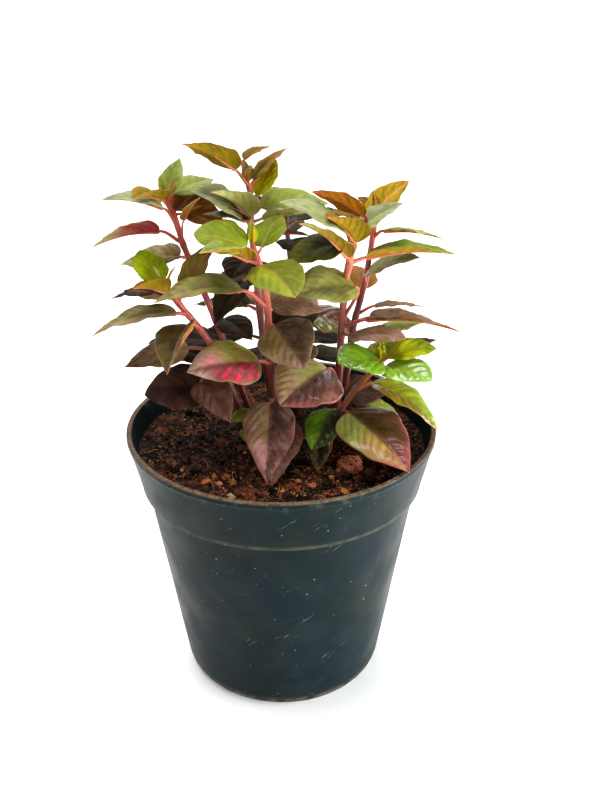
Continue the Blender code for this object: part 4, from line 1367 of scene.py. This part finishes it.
backTallStem = {
    "node": "leafy_stem_back_tall",
    "foot": (-3, 15),
    "points": [(-8, 16, 160), (-12, 18, 205), (-14, 20, 231), (-13, 21, 240), (-15, 21, 248)],
    "thick": (4.2, 2.2),
    "apex": 110,
    "apexTone": ("sage", "olive"),
    "lowColour": (84, 32, 26),
    "highColour": (206, 104, 84),
    "paler": (160, 240),
    "leaves": [
        (246, -155, 10, 52, -157, 29, 28, 22, 25, 16, -27, 1.1, "olive", "gold"),
        (247, 150, 11, 80, 28, 18, 14, 10, 20, 25, 0, 1.1, "amber", "gold"),
        (245, 20, 4, 50, 22, 40, 21, 22, 15, 15, 10, 1.1, "olive", "brown"),
        (240, 0, 3, 30, 48, 48, 19, 14, 10, 12, 0, 0.8, "yellow", "olive"),
        (229, -100, 4, 50, -138, 36, 27, 22, 30, 40, -10, 1.1, "pale", "pale"),
        (229, -140, 7, 40, -158, 30, 27, 24, 25, 20, 22, 1.1, "frost", "olive"),
        (229, -120, 5, 30, -152, 30, 20, 21, 20, 10, -5, 1.1, "plum", "plum"),
        (226, -130, 6, 50, -170, 12, 20, 12, 20, 15, 0, 1.1, "frost", "olive"),
        (233, 20, 6, 28, 28, -5, 36, 20, 20, 12, -28, 1.0, "pale", "brown"),
        (229, 0, 6, 20, -22, 14, 27, 12, 20, 25, 15, 1.1, "frost", "pale"),
        (205, -130, 9, -10, -122, -32, 27, 17, 20, 20, 0, 1.1, "dark", "dark"),
        (213, -120, 5, 10, -110, -10, 22, 18, 20, 15, 0, 1.0, "dark", "olive"),
        (221, -30, 8, 20, -24, 8, 22, 14, 20, 25, 15, 1.1, "maroon", "plum"),
        (188, -10, 6, 20, -5, -6, 26, 20, 20, 10, -15, 1.0, "plum", "olive"),
        (186, 150, 7, 15, 150, -10, 32, 20, 20, 10, 0, 1.1, "dark", "brown"),
        (172, 165, 8, 10, 164, -10, 30, 22, 20, 10, 8, 1.0, "dark", "dark"),
    ],
}
growStem("back_tall_stem", backTallStem, 2)


leftTallStem = {
    "node": "leafy_stem_left_tall",
    "foot": (-13, 8),
    "points": [(-21, 8, 154), (-32, 9, 188), (-40, 10, 209), (-45, 11, 222), (-48, 12, 234), (-51, 12, 242)],
    "thick": (4.0, 2.2),
    "apex": -30,
    "apexTone": ("lime", "brown"),
    "lowColour": (98, 36, 30),
    "highColour": (200, 86, 72),
    "paler": (158, 236),
    "leaves": [
        (230, -150, 11, 55, -163, 12, 28, 20, 25, 22, 2, 1.1, "frost", "olive"),
        (236, -150, 8, 54, -115, 15, 24, 17, 25, 38, 0, 1.0, "gold", "gold"),
        (240, 180, 4, 80, 56, 55, 18, 14, 10, 10, 0, 1.0, "pale", "olive"),
        (237, 80, 8, 55, 48, 4, 25, 17, 20, 12, -14, 1.0, "pale", "olive"),
        (232, 100, 5, 55, 62, 10, 20, 21, 20, 20, -12, 1.1, "brown", "brown"),
        (222, -60, 12, 75, -20, 52, 14, 10, 20, 25, 0, 1.1, "pale", "brown"),
        (222, -163, 12, 33, -161, -8, 31, 19, 25, 43, -20, 1.2, "pale", "burgundy"),
        (215, 130, 8, -10, 148, -16, 39, 18, 20, 12, 24, 1.1, "tan", "plum"),
        (235, 20, 4, 0, 15, -16, 20, 20, 15, 34, -32, 0.9, "brown", "brown"),
        (186, -40, 6, 10, -50, -10, 22, 16, 20, 10, -10, 1.0, "dark", "brown"),
        (172, 165, 7, 15, 172, -6, 32, 22, 20, 10, 12, 1.0, "dark", "dark"),
    ],
}
growStem("left_tall_stem", leftTallStem, 3)


leftLowStem = {
    "node": "leafy_stem_left_low",
    "foot": (-15, -3),
    "points": [
        (-23, -4, 153), (-32, -5, 178), (-38, -6, 188), (-43, -7, 195), (-48, -8, 203), (-52, -9, 209),
    ],
    "thick": (4.0, 2.2),
    "apex": 0,
    "apexTone": ("sage", "brown"),
    "lowColour": (92, 34, 27),
    "highColour": (182, 76, 62),
    "paler": (148, 214),
    "leaves": [
        (200, 20, 6, 60, 30, 50, 27, 18, 15, 15, 65, 1.1, "deep", "dark"),
        (154, 170, 10, 10, -168, -3, 32, 27, 20, 8, 27, 0.8, "maroon", "maroon"),
        (158, -172, 13, 8, -53, -26, 27, 19, 20, 10, -5, 1.1, "wine", "plum"),
        (175, 176, 12, 5, -168, -13, 31, 20, 20, 8, 18, 1.1, "shade", "plum"),
        (187, -110, 8, 28, -116, -34, 27, 28, 20, 44, -26, 1.1, "bronze", "olive"),
        (194, -140, 6, 20, -168, -12, 40, 18, 35, 20, 2, 1.2, "tan", "burgundy"),
        (200, 125, 7, 0, 160, 2, 24, 19, 20, 12, 0, 1.1, "shade", "maroon"),
        (204, 165, 8, 38, 130, 42, 18, 17, 15, 10, 0, 0.7, "vivid", "olive"),
        (204, -125, 4, 30, -135, 20, 19, 17, 20, 45, -20, 1.1, "olive", "gold"),
        (201, 149, 12, 7, 160, -14, 24, 15, 20, 15, 0, 1.1, "maroon", "maroon"),
        (166, 130, 7, 10, 140, -6, 30, 18, 20, 10, 8, 1.0, "dark", "dark"),
    ],
}
growStem("left_low_stem", leftLowStem, 4)


rightStem = {
    "node": "leafy_stem_right",
    "foot": (25, 4),
    "points": [(27, 4, 142), (28, 2, 172), (29, 1, 196), (30, 0, 210), (32, 0, 219), (32, 0, 228)],
    "thick": (4.4, 2.6),
    "apex": 90,
    "apexTone": ("pale", "olive"),
    "lowColour": (98, 36, 28),
    "highColour": (216, 120, 94),
    "paler": (172, 230),
    "leaves": [
        (225, -142, 9, 60, -163, 26, 33, 24, 20, 12, 12, 1.1, "frost", "olive"),
        (219, -70, 9, 60, -124, 36, 30, 22, 20, 38, 0, 1.0, "olive", "gold"),
        (224, 0, 8, 65, 3, 32, 23, 17, 20, 18, -12, 1.1, "frost", "olive"),
        (216, -103, 7, 40, -138, 36, 36, 17, 25, 30, 2, 1.1, "pale", "olive"),
        (226, 10, 13, 64, 178, 24, 26, 17, 20, 12, -40, 1.0, "amber", "russet"),
        (187, -40, 20, 70, -158, 0, 28, 31, 20, 16, 14, 0.8, "sage", "olive"),
        (214, -160, 12, 75, -165, -13, 26, 23, 20, 8, 12, 0.8, "deep", "brown"),
        (216, 0, 8, 20, -9, 5, 40, 20, 20, 36, 8, 1.1, "green", "olive"),
        (184, -8, 12, 23, -3, -7, 45, 18, 25, 15, 20, 1.1, "plum", "brown"),
        (184, 5, 14, 20, 10, -6, 30, 16, 20, 12, 0, 1.1, "plum", "brown"),
        (181, -65, 10, 18, -35, 9, 29, 22, 20, 5, 0, 0.8, "plum", "brown"),
        (156, -131, 12, 48, -134, -14, 33, 35, 20, 8, 20, 0.9, "purple", "plum"),
    ],
}
growStem("right_stem", rightStem, 5)


rightBackStem = {
    "node": "leafy_stem_right_back",
    "foot": (30, 17),
    "points": [(32, 18, 152), (35, 18, 179), (37, 18, 188), (40, 18, 201), (43, 18, 224), (44, 18, 236)],
    "thick": (4.0, 2.4),
    "apex": 70,
    "apexTone": ("olive", "gold"),
    "lowColour": (78, 27, 21),
    "highColour": (206, 96, 78),
    "paler": (176, 236),
    "leaves": [
        (232, 180, 3, 20, -5, 43, 24, 20, 15, 10, 45, 0.9, "gold", "gold"),
        (234, 160, 3, 60, 150, 25, 9, 10, 15, 15, 0, 1.0, "amber", "gold"),
        (226, 150, 6, 40, 150, 5, 20, 14, 20, 15, 0, 1.1, "amber", "olive"),
        (222, -30, 7, 40, -4, -7, 28, 15, 20, 12, 15, 1.1, "pale", "brown"),
        (200, -85, 7, 53, -34, 26, 31, 20, 20, 20, -15, 1.1, "frost", "brown"),
        (184, -7, 10, 30, 12, -6, 25, 12, 20, 8, 10, 1.1, "plum", "brown"),
        (171, 7, 14, 10, 12, 10, 24, 15, 20, 15, 0, 1.0, "pale", "olive"),
        (163, 17, 20, -5, 24, 4, 29, 14, 20, 15, 0, 1.1, "maroon", "burgundy"),
        (141, -30, 12, -5, -20, -20, 20, 14, 20, 10, 0, 1.0, "pale", "pale"),
        (144, -120, 3, 0, 2, -4, 22, 24, 20, 10, -15, 1.0, "maroon", "maroon"),
        (192, 80, 7, 20, 95, 4, 30, 18, 20, 12, 0, 1.1, "brown", "olive"),
        (166, 130, 7, 10, 140, -8, 30, 20, 20, 10, 0, 1.0, "dark", "dark"),
    ],
}
growStem("right_back_stem", rightBackStem, 6)


lowShoot = {
    "node": "leafy_shoot_right_low",
    "foot": (23, -9),
    "points": [(26, -9, 142), (35, -10, 158), (41, -14, 167), (46, -17, 175)],
    "thick": (3.4, 2.2),
    "apex": -100,
    "apexTone": ("fresh", "lime"),
    "lowColour": (128, 62, 38),
    "highColour": (156, 96, 48),
    "paler": (140, 190),
    "leaves": [
        (174, -90, 4, 36, -148, 11, 23.5, 26, 25, 8, 12, 0.8, "bright", "lime"),
        (173, 54, 4, 20, 72, 10, 16, 18, 20, 8, 0, 0.8, "fresh", "lime"),
        (174, 15, 5, 28, 6, 9, 22, 20, 20, 20, -5, 0.8, "sunny", "lime"),
        (171, -50, 7, 26, -40, 0, 25, 24, 25, 8, -4, 0.8, "glow", "lime"),
        (157, -3, 9, 24, -27, -27, 39, 19, 50, 18, 0, 1.1, "strip", "olive"),
        (145, -62, 9, 24, -55, -14, 46, 30, 24, 8, -10, 1.0, "half", "plum"),
        (145, -150, 4, 35, -117, -25, 25, 18, 15, 10, 6, 0.8, "twoGreen", "green"),
        (131, -130, 8, 15, -95, -25, 18, 11, 10, 28, 0, 1.0, "dry", "dark"),
    ],
}
growStem("low_shoot", lowShoot, 7)


rearStem = {
    "node": "leafy_stem_rear",
    "foot": (7, 30),
    "points": [(6, 33, 164), (5, 36, 198), (3, 37, 218), (2, 38, 228)],
    "thick": (4.0, 2.2),
    "apex": 60,
    "apexTone": ("dark", "brown"),
    # darker all along than the other stems: partly painted shade at the back of the plant
    "lowColour": (56, 26, 20),
    "highColour": (104, 50, 40),
    "paler": (150, 230),
    "leaves": [
        (226, -160, 6, 40, 170, 10, 30, 18, 20, 15, 0, 1.1, "dark", "dark"),
        (222, 15, 6, 30, 5, 2, 30, 18, 20, 15, 0, 1.1, "dark", "dark"),
        (214, 100, 6, 30, 95, 5, 34, 20, 20, 12, 0, 1.1, "dark", "dark"),
        (214, -80, 6, 30, -75, 0, 30, 19, 20, 12, 0, 1.1, "dark", "dark"),
        (178, -20, 8, 5, -12, -16, 26, 20, 20, 10, -20, 1.0, "sheen", "dark"),
        (196, 180, 8, 20, -177, -8, 34, 22, 20, 10, 15, 1.0, "dark", "dark"),
        (163, -80, 7, 10, -90, -14, 26, 22, 20, 10, -10, 1.0, "plum", "dark"),
        (176, 80, 7, 10, 85, -10, 36, 22, 20, 10, 0, 1.1, "plum", "dark"),
        (156, 0, 8, 0, 20, -14, 36, 23, 20, 10, 0, 1.1, "dark", "dark"),
        (156, 180, 8, 0, 165, -14, 36, 23, 20, 10, 0, 1.1, "dark", "dark"),
        (180, 150, 8, 10, 142, -6, 34, 23, 20, 10, 0, 1.0, "brown", "dark"),
        (184, -95, 8, 8, -84, -14, 28, 24, 20, 10, 0, 1.0, "dark", "dark"),
    ],
}
growStem("rear_stem", rearStem, 8)

bpy.context.view_layer.update()
